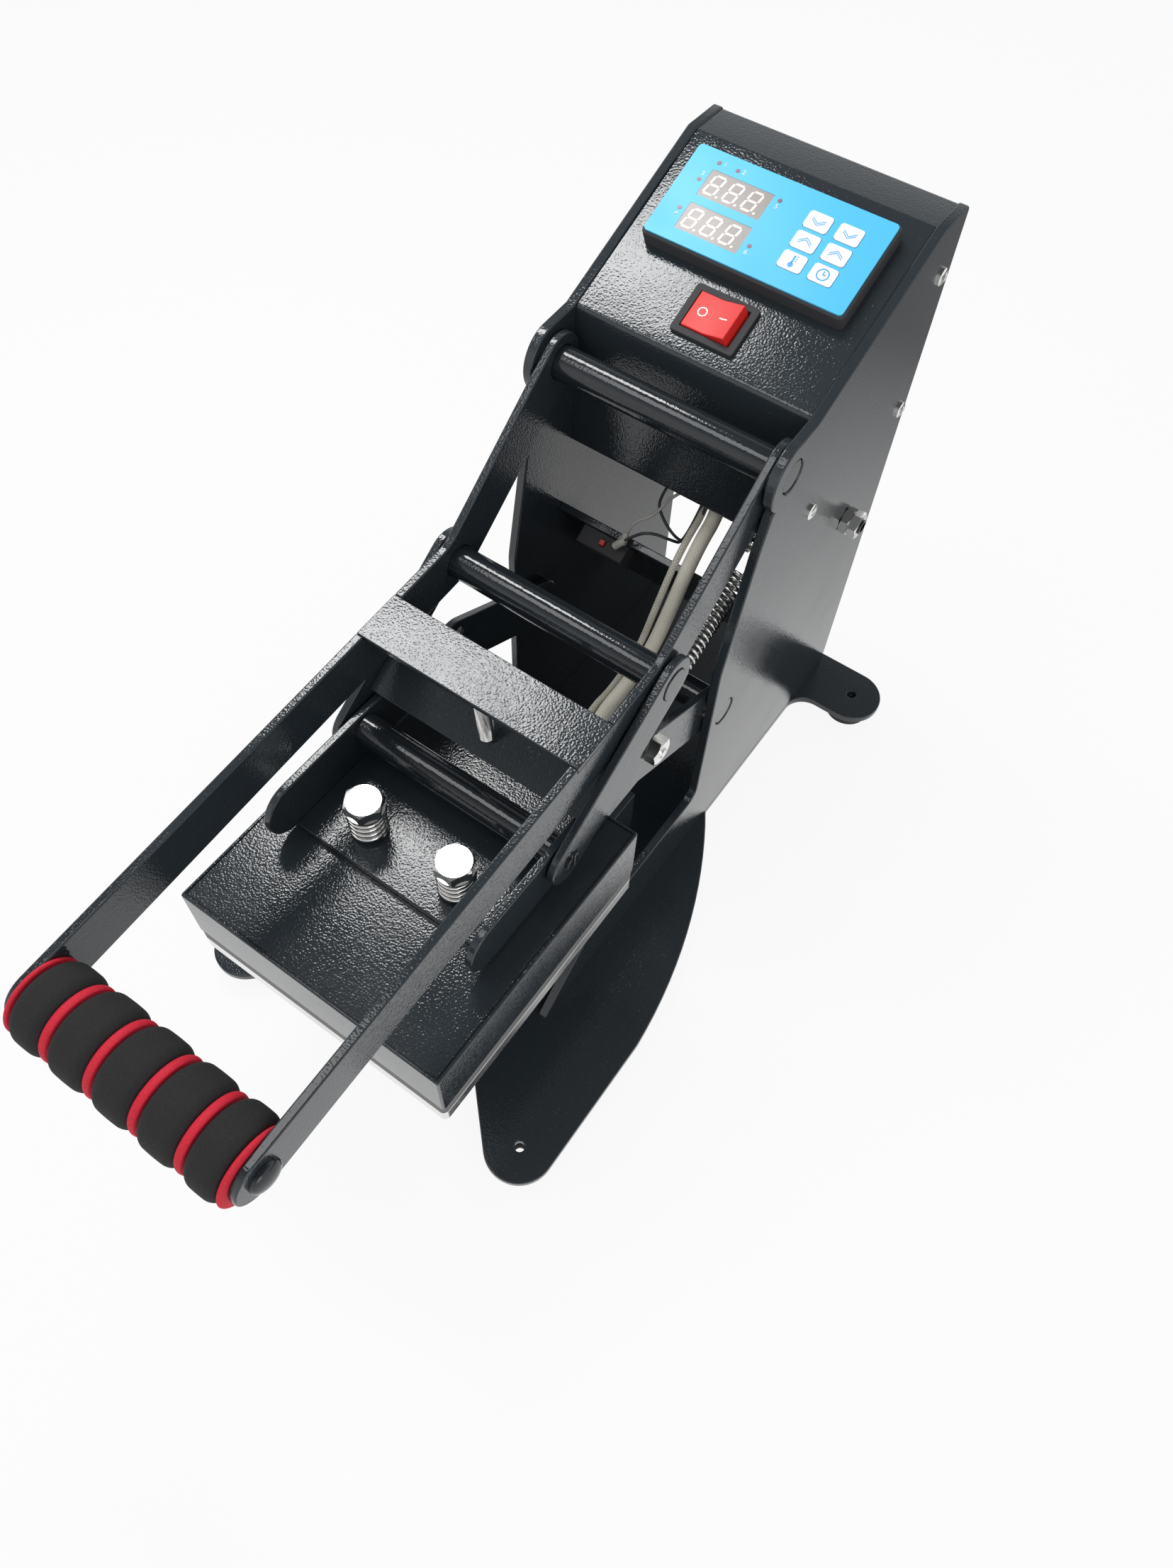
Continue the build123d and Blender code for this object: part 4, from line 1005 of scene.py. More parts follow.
@dataclass
class CableRun:
    """The heater's sleeve, its sensor cable and the three thin wires of the limit switch.

    A wire's route starts at the limit switch or the box floor and ends in the box floor.
    """

    links: Linkage
    lead_x: float = 21.0
    lead_r: float = 3.8
    sensor_x: float = 14.6
    sensor_r: float = 1.8
    sensor_forward: float = 4.0
    top_y: float = 138.0
    box_floor: float = 217.0
    brace_top: tuple = (114.0, 179.0)
    back_y: float = -7.5
    end_z: float = 127.0
    wire_r: float = 0.8
    wire_side: tuple = (0.3, 1.0, 0.2)
    sleeve_points: int = 9
    sleeve_t: float = 1.3
    sleeve_fall: float = 0.9
    pale_wire: tuple = (
        (-19.0, 113.0, 180.0),
        (-16.5, 115.0, 194.7),
        (-8.0, 119.0, 200.2),
        (-4.3, 123.0, 205.1),
        (-3.0, 128.0, 209.7),
        (9.0, 133.0, 222.0),
    )
    dark_wire: tuple = (
        (-22.0, 110.5, 178.0),
        (-11.8, 113.0, 191.2),
        (-3.8, 117.0, 193.4),
        (4.2, 121.0, 190.0),
        (9.5, 127.0, 185.3),
        (15.0, 134.0, 222.0),
    )
    loop_wire: tuple = (
        (-3.0, 131.0, 222.0),
        (-9.4, 127.5, 205.3),
        (-4.4, 124.0, 199.8),
        (3.6, 122.0, 193.9),
        (9.3, 124.0, 189.2),
        (12.2, 129.0, 188.4),
        (18.0, 131.5, 222.0),
    )

    def route(self, x: float, forward: float = 0.0) -> np.ndarray:
        """Lay a cable's route from the box floor to the back of the heater.

        Args:
            x: Its place across the press.
            forward: How far it runs in front of the heater's sleeve.

        Returns:
            Control points of the route.
        """
        brace_y, brace_z = self.brace_top
        pivot_y, pivot_z = self.links.carriage
        return np.array(
            [
                (x, self.top_y, self.box_floor + 18),
                (x, self.top_y, self.box_floor - 8),
                (x, brace_y + 3.5 - forward, brace_z + 18),
                (x, pivot_y + 7 - forward, pivot_z + 40),
                (x, pivot_y - 8, pivot_z + 22),
                (x, self.back_y + 64.5, self.end_z + 17 - forward),
                (x, self.back_y + 47.5, self.end_z + 16.5),
                (x, self.back_y + 23.5, self.end_z),
                (x, self.back_y - 3, self.end_z),
            ]
        )

    @staticmethod
    def line(name: str, route: np.ndarray) -> np.ndarray:
        """Read the smooth line of a route from a curve.

        Args:
            name: Name of the curve, which is removed again.
            route: Control points in millimetres.

        Returns:
            Points along the line, in millimetres.
        """
        curve = bpy.data.curves.new(name, "CURVE")
        curve.dimensions = "3D"
        curve.resolution_u = 24
        spline = curve.splines.new("NURBS")
        spline.points.add(len(route) - 1)
        spline.points.foreach_set("co", np.c_[route * MM, np.ones(len(route))].ravel())
        spline.order_u = 3
        spline.use_endpoint_u = True
        return traced(curve)[0]

    @staticmethod
    def length(path: np.ndarray) -> float:
        """Add up the steps along a line."""
        return float(np.linalg.norm(np.diff(path, axis=0), axis=1).sum())

    def cable(self, node: str, route: np.ndarray, radius: float, finish: Finish) -> None:
        """Args:
            node: CAD node that it stands in for.
            route: Control points of its route.
            radius: Radius of the cable.
            finish: Its finish.
        """
        path = self.line(f"{node}_line", route)
        piece = make_piece(f"{node}_woven", tube(path, radius, ACROSS, 32), finish, None)
        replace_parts(piece, node)
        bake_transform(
            piece, Body.FRAME.value, Body.CARRIAGE.value,
            start=tuple(path[0] * MM), end=tuple(path[-1] * MM),
        )

    def wire(self, name: str, points: Sequence[Triple], finish: Finish) -> np.ndarray:
        """Build one thin wire of the limit switch.

        Args:
            name: Name of the piece.
            points: Control points of its route.
            finish: Its finish.

        Returns:
            Points along its line.
        """
        path = self.line(f"{name}_line", np.array(points, float))
        piece = make_piece(name, tube(path, self.wire_r, self.wire_side, 12), finish, Body.FRAME)
        return path

    def wires(self) -> None:
        """The switch's wires, and a clear sleeve over each wire's terminal."""
        paths = [
            self.wire("switch_wire_pale", self.pale_wire, PALE_WIRE),
            self.wire("switch_wire_dark", self.dark_wire, DARK_WIRE),
        ]
        self.wire("switch_wire_loop", self.loop_wire, DARK_WIRE)
        sleeves = []
        for path in paths:
            start = path[: self.sleeve_points]
            share = np.linspace(0.0, 1.0, len(start))
            swell = self.wire_r + self.sleeve_t - self.sleeve_fall * smoothstep(0.7, 1.0, share)
            sleeves.append(tube(start, swell, self.wire_side, 20))
        make_piece("switch_wire_sleeves", join(sleeves), CRIMP, Body.FRAME)

    def build(self) -> None:
        """Build every cable."""
        self.cable("heater_lead", self.route(self.lead_x), self.lead_r, SLEEVE)
        self.cable("sensor_cable", self.route(self.sensor_x, self.sensor_forward), self.sensor_r, BRAID)
        self.wires()
        LOG.info("cables built")


@dataclass
class PressFrame:
    """Base, side plates, control box sheets, fasteners, brace and limit switch."""

    links: Linkage
    box_screws: tuple = ((230.5, 306.0), (232.5, 230.0), (140.5, 232.0))
    screw_r: float = 4.2
    screw_h: float = 2.4
    tie: tuple = (196.5, 182.0)
    nut_across: float = 13.0
    nut_t: float = 5.0
    nut_turn: float = 14.0
    tie_r: float = 4.0
    tie_proud: float = 1.0
    tie_pitch: float = 1.25

    def fasteners(self) -> None:
        """Box screws, tie nuts and the tie rod's threaded ends, one set for both sides."""
        heads, nuts, ends = [], [], []
        middle, top = self.nut_t, 2 * self.nut_t
        for hand in SIDES:
            axis = (hand, 0, 0)
            face = hand * self.links.plate_x
            heads += [cross_head(self.screw_r, self.screw_h, (face, *p), axis) for p in self.box_screws]
            seat = (face, *self.tie)
            nuts.append(hexagon(self.nut_across, 0.0, middle, seat, axis, both=True))
            nuts.append(
                hexagon(self.nut_across, middle, top, seat, axis, both=True, turned_by=self.nut_turn)
            )
            ends.append(threaded(self.tie_r, self.tie_pitch, middle, top + self.tie_proud, seat, axis))
        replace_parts(make_piece("box_screw_heads", join(heads), ZINC, Body.FRAME), "box_screws")
        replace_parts(make_piece("tie_nuts_turned", join(nuts), ZINC, Body.FRAME, 20), "tie_nuts")
        make_piece("tie_rod_threads", join(ends), ZINC, Body.FRAME)

    def build(self, frame: dict) -> None:
        """Dress the nodes of the frame and add its small pieces.
        """
        plates = {
            "base_plate": 0.9,
            "side_plate_left": 0.9,
            "side_plate_right": 0.9,
            "pedestal": 0.7,
            "inner_brace": 0.6,
            "box_shell": 0.3,
            "rear_cover": 0.25,
        }
        dress(frame, Body.FRAME, PAINT, plates)
        dress(frame, Body.FRAME, RUBBER, {"rubber_feet": 0.8})
        dress(frame, Body.FRAME, ROD, {"tie_rod": 0})
        dress(frame, Body.FRAME, ZINC, {"pedestal_bolts": 0.5, "spring_post": 0.3, "pivot_washers": 0})
        dress(frame, Body.FRAME, PLASTIC, {"cord_gland": 0.5, "limit_switch": 0.3})
        dress(frame, Body.PLUNGER, PLUNGER, {"limit_plunger": 0.3})
        dress(frame, Body.FRAME, CAST, {"lower_platen": 0.3})
        dress(frame, Body.FRAME, SILICONE, {"silicone_pad": 0.8})
        self.fasteners()
        LOG.info("frame dressed")


@dataclass
class Handle:
    """Lever arms, stop plate and the foam grip."""

    links: Linkage
    grip_r: float = 18.5
    ring_r: float = 17.2
    shoulder: float = 5.2
    crown: float = 0.5
    pitch: float = 23.1
    ring_w: float = 3.5
    ring_bow: float = 0.6
    ring_clear: float = 0.1
    segments: int = 5
    end_gap: float = 2.0
    head_r: float = 7.5
    head_h: float = 4.2
    rim_h: float = 0.9
    stud_x: float = 4.0
    stud_r: float = 4.0
    stud_pitch: float = 1.25
    stud_back: float = 58.5
    stud_down: float = 10.5
    stud_sunk: float = 0.2

    def segment(self, low: float, high: float) -> Surface:
        """Turn one foam segment with round shoulders and a slightly crowned middle.

        At share s from the middle to an end, the radius is the grip's, less the
        crown times s squared, less what a quarter circle takes off at the shoulder.

        Args:
            low: Start of the segment across the press.
            high: End of the segment.

        Returns:
            The segment.
        """
        x = low + (high - low) * (1 - np.cos(np.linspace(0, pi, 49))) / 2
        edge = np.minimum(x - low, high - x)
        round_off = np.maximum(0.0, self.shoulder - edge)
        fall = self.shoulder - np.sqrt(np.maximum(self.shoulder**2 - round_off**2, 0.0))
        crown = self.crown * ((2 * x - low - high) / (high - low)) ** 2
        radius = self.grip_r - crown - fall
        return turned(np.c_[x, radius], (0, *self.links.grip), ACROSS, 128)

    def grip(self) -> None:
        """Foam segments and the red rings between them.

        A ring's radius falls by the bow times the square of the share from its
        middle to an edge.
        """
        end = self.links.arm_inner_x - self.end_gap
        width = self.pitch - self.ring_w
        middles = (np.arange(self.segments) - (self.segments - 1) / 2) * self.pitch
        foam = [self.segment(max(m - width / 2, -end), min(m + width / 2, end)) for m in middles]
        piece = make_piece("grip_foam_segments", join(foam), FOAM, Body.LEVER, 60)
        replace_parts(piece, "grip_foam")
        gaps = [(m - self.ring_w / 2, m + self.ring_w / 2) for m in (middles[:-1] + self.pitch / 2)]
        arm = self.links.arm_inner_x
        gaps += [(-arm + self.ring_clear, -end), (end, arm - self.ring_clear)]
        rings = []
        for low, high in gaps:
            x = np.linspace(low, high, 15)
            bow = self.ring_bow * (1 - ((2 * x - low - high) / (high - low)) ** 2)
            radius = self.ring_r - self.ring_bow + bow
            rings.append(turned(np.c_[x, radius], (0, *self.links.grip), ACROSS, 96))
        piece = make_piece("grip_foam_rings", join(rings), RED_FOAM, Body.LEVER, 60)
        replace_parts(piece, "grip_rings")

    def end_screws(self) -> None:
        """Domed screw heads: height falls as a circle from the middle to a low rim."""
        share = np.linspace(1.0, 0.02, 16)
        dome = self.rim_h + (self.head_h - self.rim_h) * np.sqrt(1 - share**2 * 0.98)
        profile = np.r_[[[0.0, self.head_r]], np.c_[dome, share * self.head_r]]
        heads = [
            turned(profile, (hand * self.links.arm_x, *self.links.grip), (hand, 0, 0))
            for hand in SIDES
        ]
        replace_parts(make_piece("handle_screw_domes", join(heads), ROD, Body.LEVER), "handle_screws")

    def stud(self) -> None:
        """Threaded stop stud under the stop plate."""
        along = self.links.direction(self.links.grip, self.links.knee)
        down = np.array([0.0, along[2], -along[1]])
        root = np.array([self.stud_x, *self.links.knee]) - self.stud_back * along - self.stud_down * down
        low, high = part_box("stop_stud")
        length = (high.z - low.z) / MM
        rod = threaded(self.stud_r, self.stud_pitch, -self.stud_sunk, length, root, down)
        piece = make_piece("stop_stud_threads", rod, ZINC, Body.LEVER)
        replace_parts(piece, "stop_stud")

    def build(self, frame: dict) -> None:
        """Dress the lever's nodes and build the grip.
        """
        dress(
            frame, Body.LEVER, PAINT,
            {"lever_arm_left": 0.8, "lever_arm_right": 0.8, "stop_plate": 0.5},
        )
        dress(frame, Body.LEVER, ROD, {"lever_pivot_rod": 0.5, "knee_rod": 0, "handle_bar": 0})
        self.grip()
        self.end_screws()
        self.stud()
        LOG.info("lever and grip built")


@dataclass
class Carriage:
    """Carriage arms, links, head bracket, pins and the return spring."""

    links: Linkage
    bolt: tuple = (23.0, 169.0)
    post: tuple = (128.0, 208.0)
    pin_r: float = 3.0
    spring_x: float = 49.5
    spring_r: float = 5.5
    wire_r: float = 0.85
    hook: float = 17.0
    turns: int = 25
    head_x: float = 45.5
    head_t: float = 1.5
    head_r: float = 5.0
    edge_in: float = 0.4
    edge_h: float = 0.3
    bolt_pitch: float = 1.0
    bolt_proud: float = 1.1
    nut_across: float = 13.0
    nut_t: float = 6.5
    nut_turn: float = 8.0

    def spring(self) -> None:
        """Pulled spring between the right arm's bolt and the post of the right side plate."""
        start = (self.spring_x, *self.bolt)
        end = (self.spring_x, *self.post)
        surface = hook_spring(
            start, end, ACROSS, self.spring_r - self.wire_r, self.wire_r, self.pin_r, self.hook, self.turns
        )
        piece = make_piece("return_spring_coil", surface, SPRING, None)
        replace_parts(piece, "return_spring")
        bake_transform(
            piece, Body.FRAME.value, Body.CARRIAGE.value,
            start=tuple(np.array(end) * MM), end=tuple(np.array(start) * MM),
        )

    def spring_bolt(self) -> None:
        """Bolt, low round head and nut that hold the spring to the right arm."""
        origin = (0, *self.bolt)
        low, arm = self.head_x - self.head_t, self.links.arm_x
        nut = arm + self.nut_t
        head = [
            (low, self.head_r - self.edge_in),
            (low + self.edge_h, self.head_r),
            (self.head_x, self.head_r),
        ]
        parts = [
            turned(head, origin, ACROSS),
            threaded(self.pin_r, self.bolt_pitch, self.head_x, nut + self.bolt_proud, origin, ACROSS),
            hexagon(self.nut_across, arm, nut, origin, ACROSS, both=True, turned_by=self.nut_turn),
        ]
        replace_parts(make_piece("spring_bolt_turned", join(parts), ZINC, Body.CARRIAGE, 20), "spring_bolt")

    def build(self, frame: dict) -> None:
        """Dress the nodes of the carriage and links, and build the spring.
        """
        dress(
            frame, Body.CARRIAGE, PAINT,
            {"carriage_arm_left": 0.8, "carriage_arm_right": 0.8, "head_bracket": 0.5},
        )
        dress(frame, Body.LINKS, PAINT, {"link_left": 0.8, "link_right": 0.8, "link_plate": 0.5})
        dress(frame, Body.LINKS, ROD, {"knee_pins": 0.5})
        dress(frame, Body.CARRIAGE, ROD, {"head_rod": 0.4, "carriage_rod": 0.5})
        self.spring()
        self.spring_bolt()
        LOG.info("carriage and links built")


@dataclass
class HeatHead:
    """Heater cover, platen, insulation and the two sprung bolts."""

    head_y: float = -82.5
    bolt_x: float = 26.0
    seat: float = 149.6
    spring_h: float = 18.4
    spring_r: float = 9.2
    wire_r: float = 1.45
    turns: float = 4.25
    washer_r: float = 9.2
    washer_t: float = 1.5
    washer_edge: float = 0.2
    head_across: float = 17.0
    head_h: float = 6.5
    shank_r: float = 5.0
    shank_low: float = 112.0

    def bolts(self) -> None:
        """Bright hexagon bolts that stand on their springs."""
        bolts, springs = [], []
        top, head = self.spring_h, self.spring_h + self.washer_t
        edge, rim = self.washer_edge, self.washer_r
        washer = [(top, rim - edge), (top + edge, rim), (head, rim)]
        shank = [(self.shank_low - self.seat, self.shank_r), (top, self.shank_r)]
        for hand in SIDES:
            foot = (hand * self.bolt_x, self.head_y, self.seat)
            bolts.append(turned(washer, foot, UPRIGHT, 64))
            bolts.append(hexagon(self.head_across, head, head + self.head_h, foot, UPRIGHT))
            bolts.append(turned(shank, foot, UPRIGHT))
            springs.append(
                coil_spring(self.spring_r - self.wire_r, self.wire_r, self.spring_h, self.turns, foot)
            )
        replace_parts(make_piece("heater_bolts_turned", join(bolts), ZINC, Body.CARRIAGE, 20), "heater_bolts")
        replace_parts(make_piece("float_spring_coils", join(springs), ZINC, Body.CARRIAGE), "float_springs")

    def build(self, frame: dict) -> None:
        """Dress the head's nodes and build the bolts.
        """
        dress(frame, Body.CARRIAGE, PAINT, {"heater_cover": 0})
        dress(frame, Body.CARRIAGE, CAST, {"heater_platen": 0.4})
        dress(frame, Body.CARRIAGE, WOOL, {"heater_insulation": 0.6})
        self.bolts()
        LOG.info("heating head built")


@dataclass
class Panel:
    """The sloping panel: u runs along X, v up the slope and n out of the sheet."""

    origin: tuple = (0.0, 123.8065, 295.261)
    rise: float = 39.0
    run: float = 94.0

    @property
    def axes(self) -> np.ndarray:
        """Rows are the directions of u, v and n."""
        long = hypot(self.rise, self.run)
        c, s = self.run / long, self.rise / long
        return np.array([(1, 0, 0), (0, c, s), (0, -s, c)], float)

    def place(self, local: np.ndarray) -> np.ndarray:
        """Turn points (u, v, n) into points of the press."""
        return np.asarray(self.origin) + np.asarray(local, float) @ self.axes

    def prism(self, outline: np.ndarray, low: float, high: float) -> Surface:
        """Raise a flat outline between two heights.

        Args:
            outline: Its points (u, v), counter-clockwise.
            low: Height n of its lower face.
            high: Height n of its upper face.

        Returns:
            The prism.
        """
        flat = np.asarray(outline, float)
        rings = [np.c_[flat, np.full(len(flat), n)] for n in (low, high)]
        return sweep(self.place(np.stack(rings)))

    def ring(self, centre: Sequence[float], inner: float, outer: float, low: float,
             high: float) -> Surface:
        """Raise a flat ring: four corners of its section carried round a circle.

        Args:
            centre: Its middle (u, v).
            inner: Inner radius.
            outer: Outer radius.
            low: Height n of its lower face.
            high: Height n of its upper face.

        Returns:
            The ring.
        """
        turn = round_turns(48)[:, None]
        radius = np.array([inner, outer, outer, inner])
        height = np.array([low, low, high, high])
        u = centre[0] + radius * np.cos(turn)
        v = centre[1] + radius * np.sin(turn)
        rings = np.stack([u, v, np.broadcast_to(height, u.shape)], -1)
        return sweep(self.place(rings), closed=True)


@dataclass
class Controller:
    """Temperature controller: bezel, blue face, displays, lamps and keys."""

    panel: Panel
    centre_v: float = 65.9
    face_n: float = 8.8
    window_x: float = -21.8
    window_vs: tuple = (7.6, -10.6)
    window_n: float = 8.7
    digit_h: float = 9.6
    digit_w: float = 5.2
    digit_pitch: float = 9.6
    bar: float = 1.15
    bar_gap: float = 0.25
    point_r: float = 0.65
    point_gap: float = 1.9
    slant: float = 0.16
    key_x: float = 25.6
    pitch_x: float = 15.0
    pitch_v: float = 10.6
    key_n: float = 9.2
    print_t: float = 0.06
    print_sunk: float = 0.02
    clock_rs: tuple = (2.35, 2.95)
    number_h: float = 3.4
    number_t: float = 0.05
    number_n: float = 0.03
    lamps: tuple = ((-36.7, 18.3), (-27.1, 18.3), (-40.6, 7.6), (-40.6, -8.1), (-2.4, 13.0), (-2.4, -11.8))
    number_steps: tuple = ((3.0, 0.3), (3.0, 0.3), (0.0, 3.2), (0.0, -3.2), (0.0, -3.2), (0.0, -3.2))

    def digit(self, middle: np.ndarray) -> list[Surface]:
        """Draw the seven bars of an eight and its point.

        Each bar is a hexagon with pointed ends. Every u is shifted by the slant
        times its v.

        Args:
            middle: Middle (u, v) of the eight.

        Returns:
            The bars and the point.
        """
        w, h, t = self.digit_w, self.digit_h / 2, self.bar / 2
        flat = np.array([(-1, 0), (-0.8, -1), (0.8, -1), (1, 0), (0.8, 1), (-0.8, 1)], float)
        across = flat * (w / 2 - self.bar_gap, t)
        upright = (flat * (h / 2 - self.bar_gap, t))[:, ::-1] * (-1, 1)
        bars = [across + (0, v) for v in (-h, 0.0, h)]
        bars += [upright + (u, v) for u in (-w / 2, w / 2) for v in (-h / 2, h / 2)]
        turn = round_turns(16)
        bars.append(np.c_[np.cos(turn), np.sin(turn)] * self.point_r + (w / 2 + self.point_gap, -h))
        slanted = [b + np.c_[self.slant * b[:, 1], 0 * b[:, 1]] + middle for b in bars]
        return [self.printed(b, self.window_n) for b in slanted]

    def printed(self, outline: np.ndarray, seat: float) -> Surface:
        """Raise a print's outline (u, v) a hair over the face at height seat, and sink it a little."""
        return self.panel.prism(outline, seat - self.print_sunk, seat + self.print_t)

    def digits(self) -> None:
        """Three unlit eights in each display."""
        shapes = []
        for v in self.window_vs:
            for step in (-1, 0, 1):
                middle = np.array([self.window_x - 1.0 + step * self.digit_pitch, self.centre_v + v])
                shapes += self.digit(middle)
        make_piece("display_digits", join(shapes), SEGMENT, Body.FRAME)

    def chevron(self, middle: np.ndarray, up: bool) -> list[Surface]:
        """Draw two V strokes one over the other.

        Args:
            middle: Middle (u, v) of the key.
            up: Whether they point up.

        Returns:
            The strokes.
        """
        w, h, t = 3.2, 2.3, 0.45
        stroke = np.array([(-w, h), (0, 0), (w, h), (w, h + t), (0, t), (-w, h + t)], float)
        strokes = [stroke + (0, low) for low in (-2.1, -1.1)]
        if up:
            strokes = [(s * (1, -1))[::-1] for s in strokes]
        return [self.printed(s + middle, self.key_n) for s in strokes]

    def signs(self, middle: np.ndarray, clock: bool) -> list[Surface]:
        """Draw a clock face or a thermometer.

        Args:
            middle: Middle (u, v) of the key.
            clock: Whether it is the clock.

        Returns:
            The sign's parts.
        """
        box = np.array([(0, 0), (1, 0), (1, 1), (0, 1)], float)
        if clock:
            hands = [box * (0.55, 2.0) - (0.27, 0.2), box * (1.6, 0.55) - (0.2, 0.27)]
            low, high = self.key_n - self.print_sunk, self.key_n + self.print_t
            ring = self.panel.ring(middle, *self.clock_rs, low, high)
            return [ring] + [self.printed(h + middle, self.key_n) for h in hands]
        turn = round_turns(28)
        bulb = np.c_[np.cos(turn), np.sin(turn)] * 1.25 + (0, -1.7)
        stem = box * (0.9, 4.0) - (0.45, 1.0)
        ticks = [box * (0.9, 0.4) + (0.9, v) for v in (0.3, 1.4, 2.5)]
        return [self.printed(s + middle, self.key_n) for s in (bulb, stem, *ticks)]

    def key_marks(self) -> None:
        """Plain signs on the six keys: down, up, and one each for heat and time."""
        for column in (0, 1):
            for row in range(3):
                index = row * 2 + column + 1
                u = self.key_x + (column - 0.5) * self.pitch_x
                middle = np.array([u, self.centre_v + (1 - row) * self.pitch_v])
                shapes = self.signs(middle, column == 1) if row == 2 else self.chevron(middle, row == 1)
                piece = make_piece(f"key_{index}_mark", join(shapes), PRINT_BLUE, None)
                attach(piece, f"button_{index}")

    def numbers(self) -> None:
        """Plain numbers beside the lamps."""
        shapes = []
        for index, ((u, v), (du, dv)) in enumerate(zip(self.lamps, self.number_steps)):
            text = bpy.data.curves.new(f"lamp_number_{index}", "FONT")
            text.body = str(index + 1)
            text.size = self.number_h * MM
            text.align_x = "CENTER"
            text.align_y = "CENTER"
            flat, mesh = traced(text)
            local = flat + (u + du, self.centre_v + v + dv, self.face_n + self.number_n)
            faces = [tuple(p.vertices) for p in mesh.polygons]
            shapes.append(Surface(self.panel.place(local), faces, np.zeros((len(mesh.loops), 2))))
        piece = make_piece("lamp_numbers", join(shapes), PRINT_WHITE, Body.FRAME)
        thickness = piece.modifiers.new("thickness", "SOLIDIFY")
        thickness.thickness = self.number_t * MM
        thickness.offset = 0.0

    def build(self, frame: dict) -> None:
        """Dress the controller's nodes and add its prints.
        """
        dress(frame, Body.FRAME, PLASTIC, {"controller_body": 0.12})
        dress(frame, Body.FRAME, FILM, {"controller_face": 0})
        dress(frame, Body.FRAME, WINDOW, {"display_windows": 0})
        dress(frame, Body.FRAME, LAMP, {"indicator_lamps": 0})
        for index in range(1, 7):
            coat(frame, f"key_{index}", KEY)
        self.digits()
        self.key_marks()
        self.numbers()
        LOG.info("controller built")


@dataclass
class PowerSwitch:
    """Rocker switch with its ring and bar marks."""

    panel: Panel
    centre_v: float = 21.4
    pivot_n: float = -2.5
    left_n: float = 2.8
    tilt: float = 16.0
    ring_r: float = 2.3
    ring_w: float = 0.55
    bar_half: tuple = (2.0, 0.3)
    mark_u: float = 6.2
    mark_t: float = 0.12
    mark_sunk: float = 0.05

    def marks(self) -> None:
        """A ring on the low half, and a bar turned by the tilt about the rocker's pivot."""
        ring = self.panel.ring(
            (-self.mark_u, self.centre_v), self.ring_r - self.ring_w, self.ring_r,
            self.left_n - self.mark_sunk, self.left_n + self.mark_t,
        )
        corners = np.array([(-1, -1), (1, -1), (1, 1), (-1, 1)], float)
        box = corners * self.bar_half + (self.mark_u, 0)
        top = self.left_n - self.pivot_n
        a = radians(self.tilt)
        rings = []
        for n in (top - self.mark_sunk, top + self.mark_t):
            u = box[:, 0] * cos(a) - n * sin(a)
            height = box[:, 0] * sin(a) + n * cos(a) + self.pivot_n
            rings.append(np.stack([u, box[:, 1] + self.centre_v, height], -1))
        bar = sweep(self.panel.place(np.stack(rings)))
        make_piece("rocker_marks", join([ring, bar]), PRINT_WHITE, Body.ROCKER)

    def build(self, frame: dict) -> None:
        """Dress the switch's nodes and add its marks.
        """
        dress(frame, Body.FRAME, PLASTIC, {"switch_body": 0.3})
        dress(frame, Body.ROCKER, ROCKER, {"rocker": 0.5})
        self.marks()
        LOG.info("switch built")


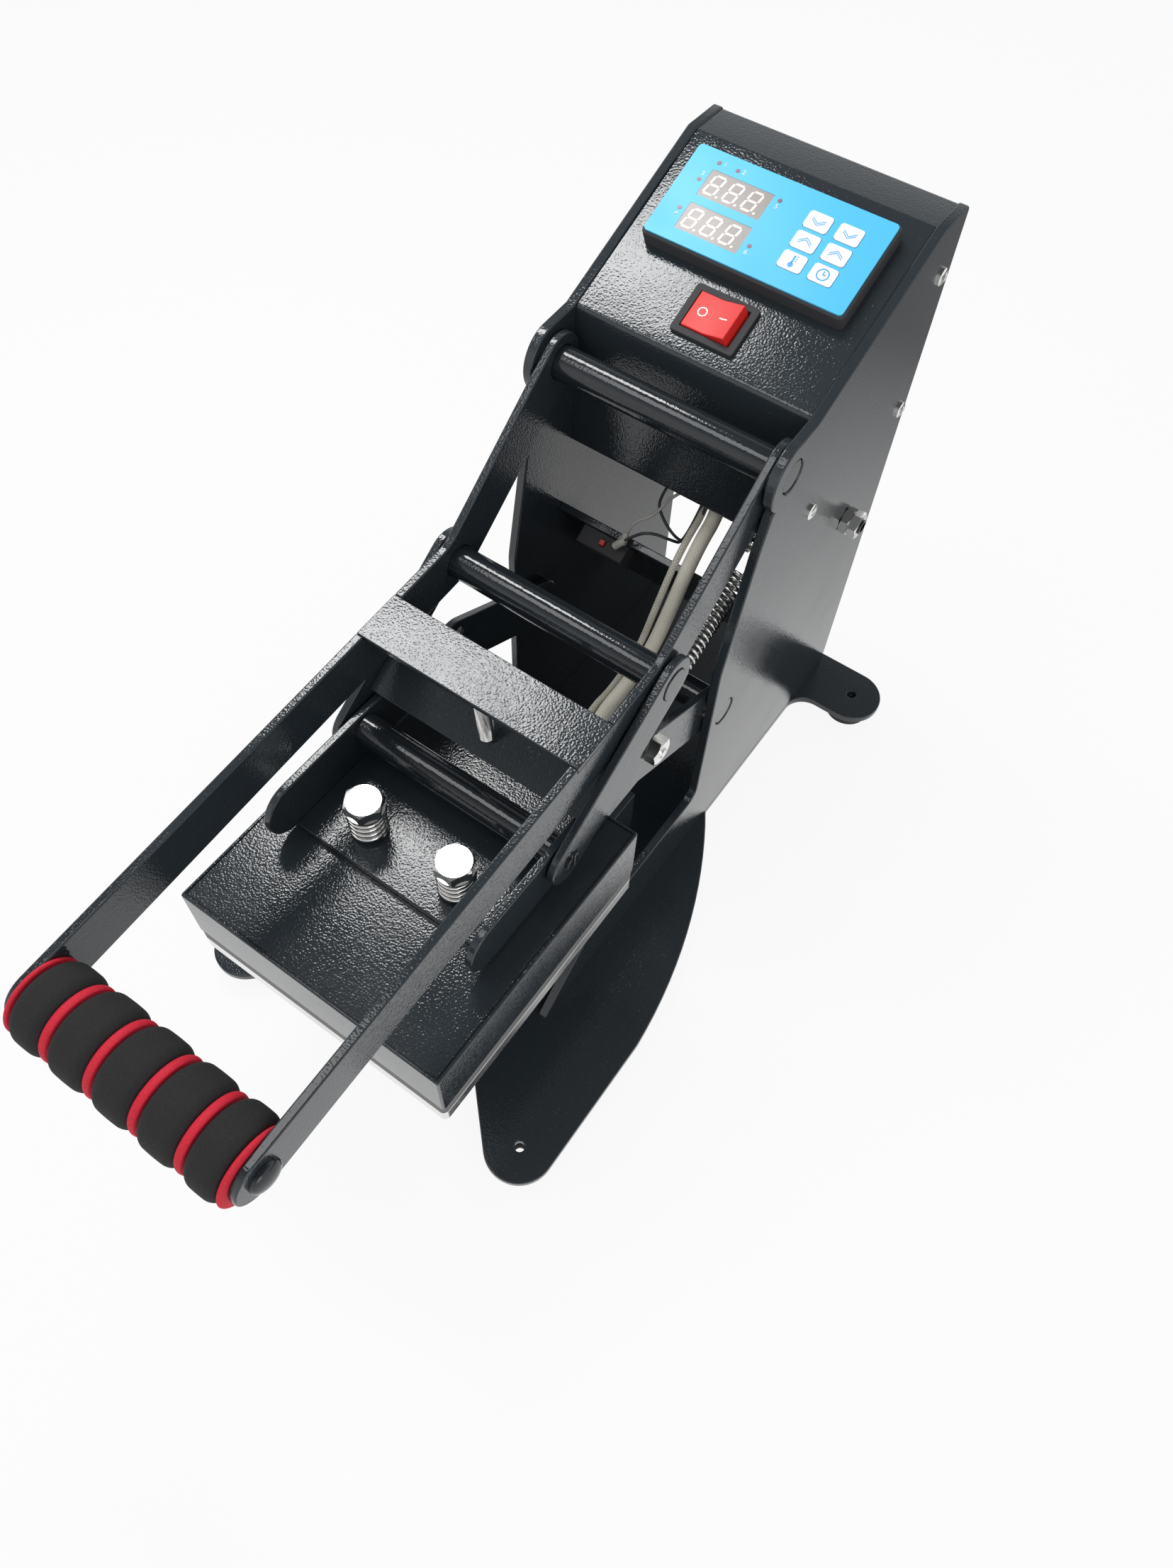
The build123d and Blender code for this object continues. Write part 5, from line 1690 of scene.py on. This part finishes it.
@dataclass
class Studio:
    """Camera at the photograph's angle, floor, world and soft lights."""

    place: tuple = (0.19941, -0.25312, 0.62576)
    right: tuple = (0.8154658, 0.57786716, 0.0329404)
    up: tuple = (-0.50508262, 0.68265195, 0.52808888)
    back: tuple = (0.28267839, -0.44727604, 0.84854998)
    lens: float = 35.776
    floor_size: float = 6.0
    floor_drop: float = 0.2
    paper: tuple = (0.85, 0.85, 0.85)
    aim: tuple = (0.0, 0.0, 0.12)

    def camera(self) -> None:
        """Place the camera by its three directions."""
        data = bpy.data.cameras.new("camera")
        data.sensor_fit = "HORIZONTAL"
        data.sensor_width = 36.0
        data.lens = self.lens
        data.clip_start = 0.01
        camera = bpy.data.objects.new("camera", data)
        bpy.context.scene.collection.objects.link(camera)
        turn = Matrix(np.stack([self.right, self.up, self.back], 1).tolist()).to_4x4()
        camera.matrix_world = Matrix.Translation(self.place) @ turn
        bpy.context.scene.camera = camera

    @staticmethod
    def seen(tree: Tree) -> Socket:
        """Give back 1 for rays from the camera, a mirror or glass, and 0 for others."""
        path = tree.add("LightPath").outputs
        mirrored = tree.math("MAXIMUM", path["Is Glossy Ray"], path["Is Transmission Ray"])
        return tree.math("MAXIMUM", path["Is Camera Ray"], mirrored)

    def floor(self) -> None:
        """A wide white floor that keeps a faint shadow, and dims to the back in mirrors."""
        h = self.floor_size / 2 / MM
        corners = np.array([(-h, -h, 0), (h, -h, 0), (h, h, 0), (-h, h, 0)], float)
        surface = Surface(corners - (0, 0, self.floor_drop), [(0, 1, 2, 3)], np.zeros((4, 2)))
        paper = Finish("floor_paper", "", self.paper, 0.9)
        piece = make_piece("floor", surface, paper, None)
        material = paper.material()
        tree = Tree(material.node_tree)
        diffuse = tree.add("BsdfDiffuse", {"Color": (*self.paper, 1.0)})
        glow = tree.add("Emission", {"Color": (1, 1, 1, 1), "Strength": 1.0})
        depth = tree.add("SeparateXYZ", {0: tree.add("TexCoord").outputs["Object"]}).outputs[1]
        camera = tree.add("LightPath").outputs["Is Camera Ray"]
        reach = tree.math("MAXIMUM", camera, tree.ranged(depth, 0.22, 0.6, 1.0, 0.2))
        tree.tree.links.new(reach, glow.inputs["Strength"])
        share = tree.math("MULTIPLY", self.seen(tree), 0.9)
        mix = tree.add("MixShader", {0: share, 1: diffuse.outputs[0], 2: glow.outputs[0]})
        tree.add("OutputMaterial", {"Surface": mix.outputs[0]})

    def world(self) -> None:
        """White round the horizon, darker overhead for mirrors, softer for the light it gives."""
        world = bpy.data.worlds.new("studio")
        bpy.context.scene.world = world
        world.use_nodes = True
        tree = Tree(world.node_tree)
        height = tree.add("SeparateXYZ", {0: tree.add("TexCoord").outputs["Generated"]}).outputs[2]
        shown = tree.ranged(height, 0.35, 0.8, 1.0, 0.2)
        strength = tree.add("Mix", {0: self.seen(tree), 2: 0.6, 3: shown}, data_type="FLOAT").outputs[0]
        back = tree.add("Background", {"Color": (1, 1, 1, 1), "Strength": strength})
        tree.add("OutputWorld", {"Surface": back.outputs[0]})

    def lamp(self, name: str, direction: Triple, distance: float, size: Sequence[float], power: float,
             turned_by: float = 0.0) -> None:
        """Add a soft light that faces the press.

        Args:
            name: Name of the light.
            direction: Direction from the press to the light.
            distance: Distance in metres.
            size: Width and height in metres.
            power: Power in watts.
            turned_by: Angle in degrees that the light is turned by about its direction.
        """
        data = bpy.data.lights.new(name, "AREA")
        data.shape = "RECTANGLE"
        data.size, data.size_y = size
        data.energy = power
        light = bpy.data.objects.new(name, data)
        bpy.context.scene.collection.objects.link(light)
        u, v, w = square_axes(direction)
        a = radians(turned_by)
        u, v = u * cos(a) + v * sin(a), v * cos(a) - u * sin(a)
        turn = Matrix(np.stack([u, v, w], 1).tolist()).to_4x4()
        light.matrix_world = Matrix.Translation(unit(direction) * distance + self.aim) @ turn

    def build(self) -> None:
        """Build the whole studio."""
        self.camera()
        self.floor()
        self.world()
        self.lamp(
            "window_light", (-0.36, 0.2, 0.737), distance=0.84, size=(0.15, 0.3), power=2.2, turned_by=50.0
        )
        self.lamp("panel_light", (-0.28, -0.28, 0.92), distance=1.4, size=(0.5, 0.5), power=3.0)
        self.lamp("fill_light", (0.9, -0.6, 0.5), distance=1.6, size=(0.8, 0.8), power=3.5)
        LOG.info("studio built")


def main() -> None:
    """Build the press around its frame and report each sub-assembly."""
    logging.basicConfig(level=logging.INFO, format="%(message)s")
    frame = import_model()
    Studio().build()
    links = Linkage()
    CableRun(links).build()
    PressFrame(links).build(frame)
    Handle(links).build(frame)
    Carriage(links).build(frame)
    HeatHead().build(frame)
    panel = Panel()
    Controller(panel).build(frame)
    PowerSwitch(panel).build(frame)
    bpy.context.scene.view_settings.view_transform = "Standard"
    bpy.context.view_layer.update()


if __name__ == "__main__":
    main()
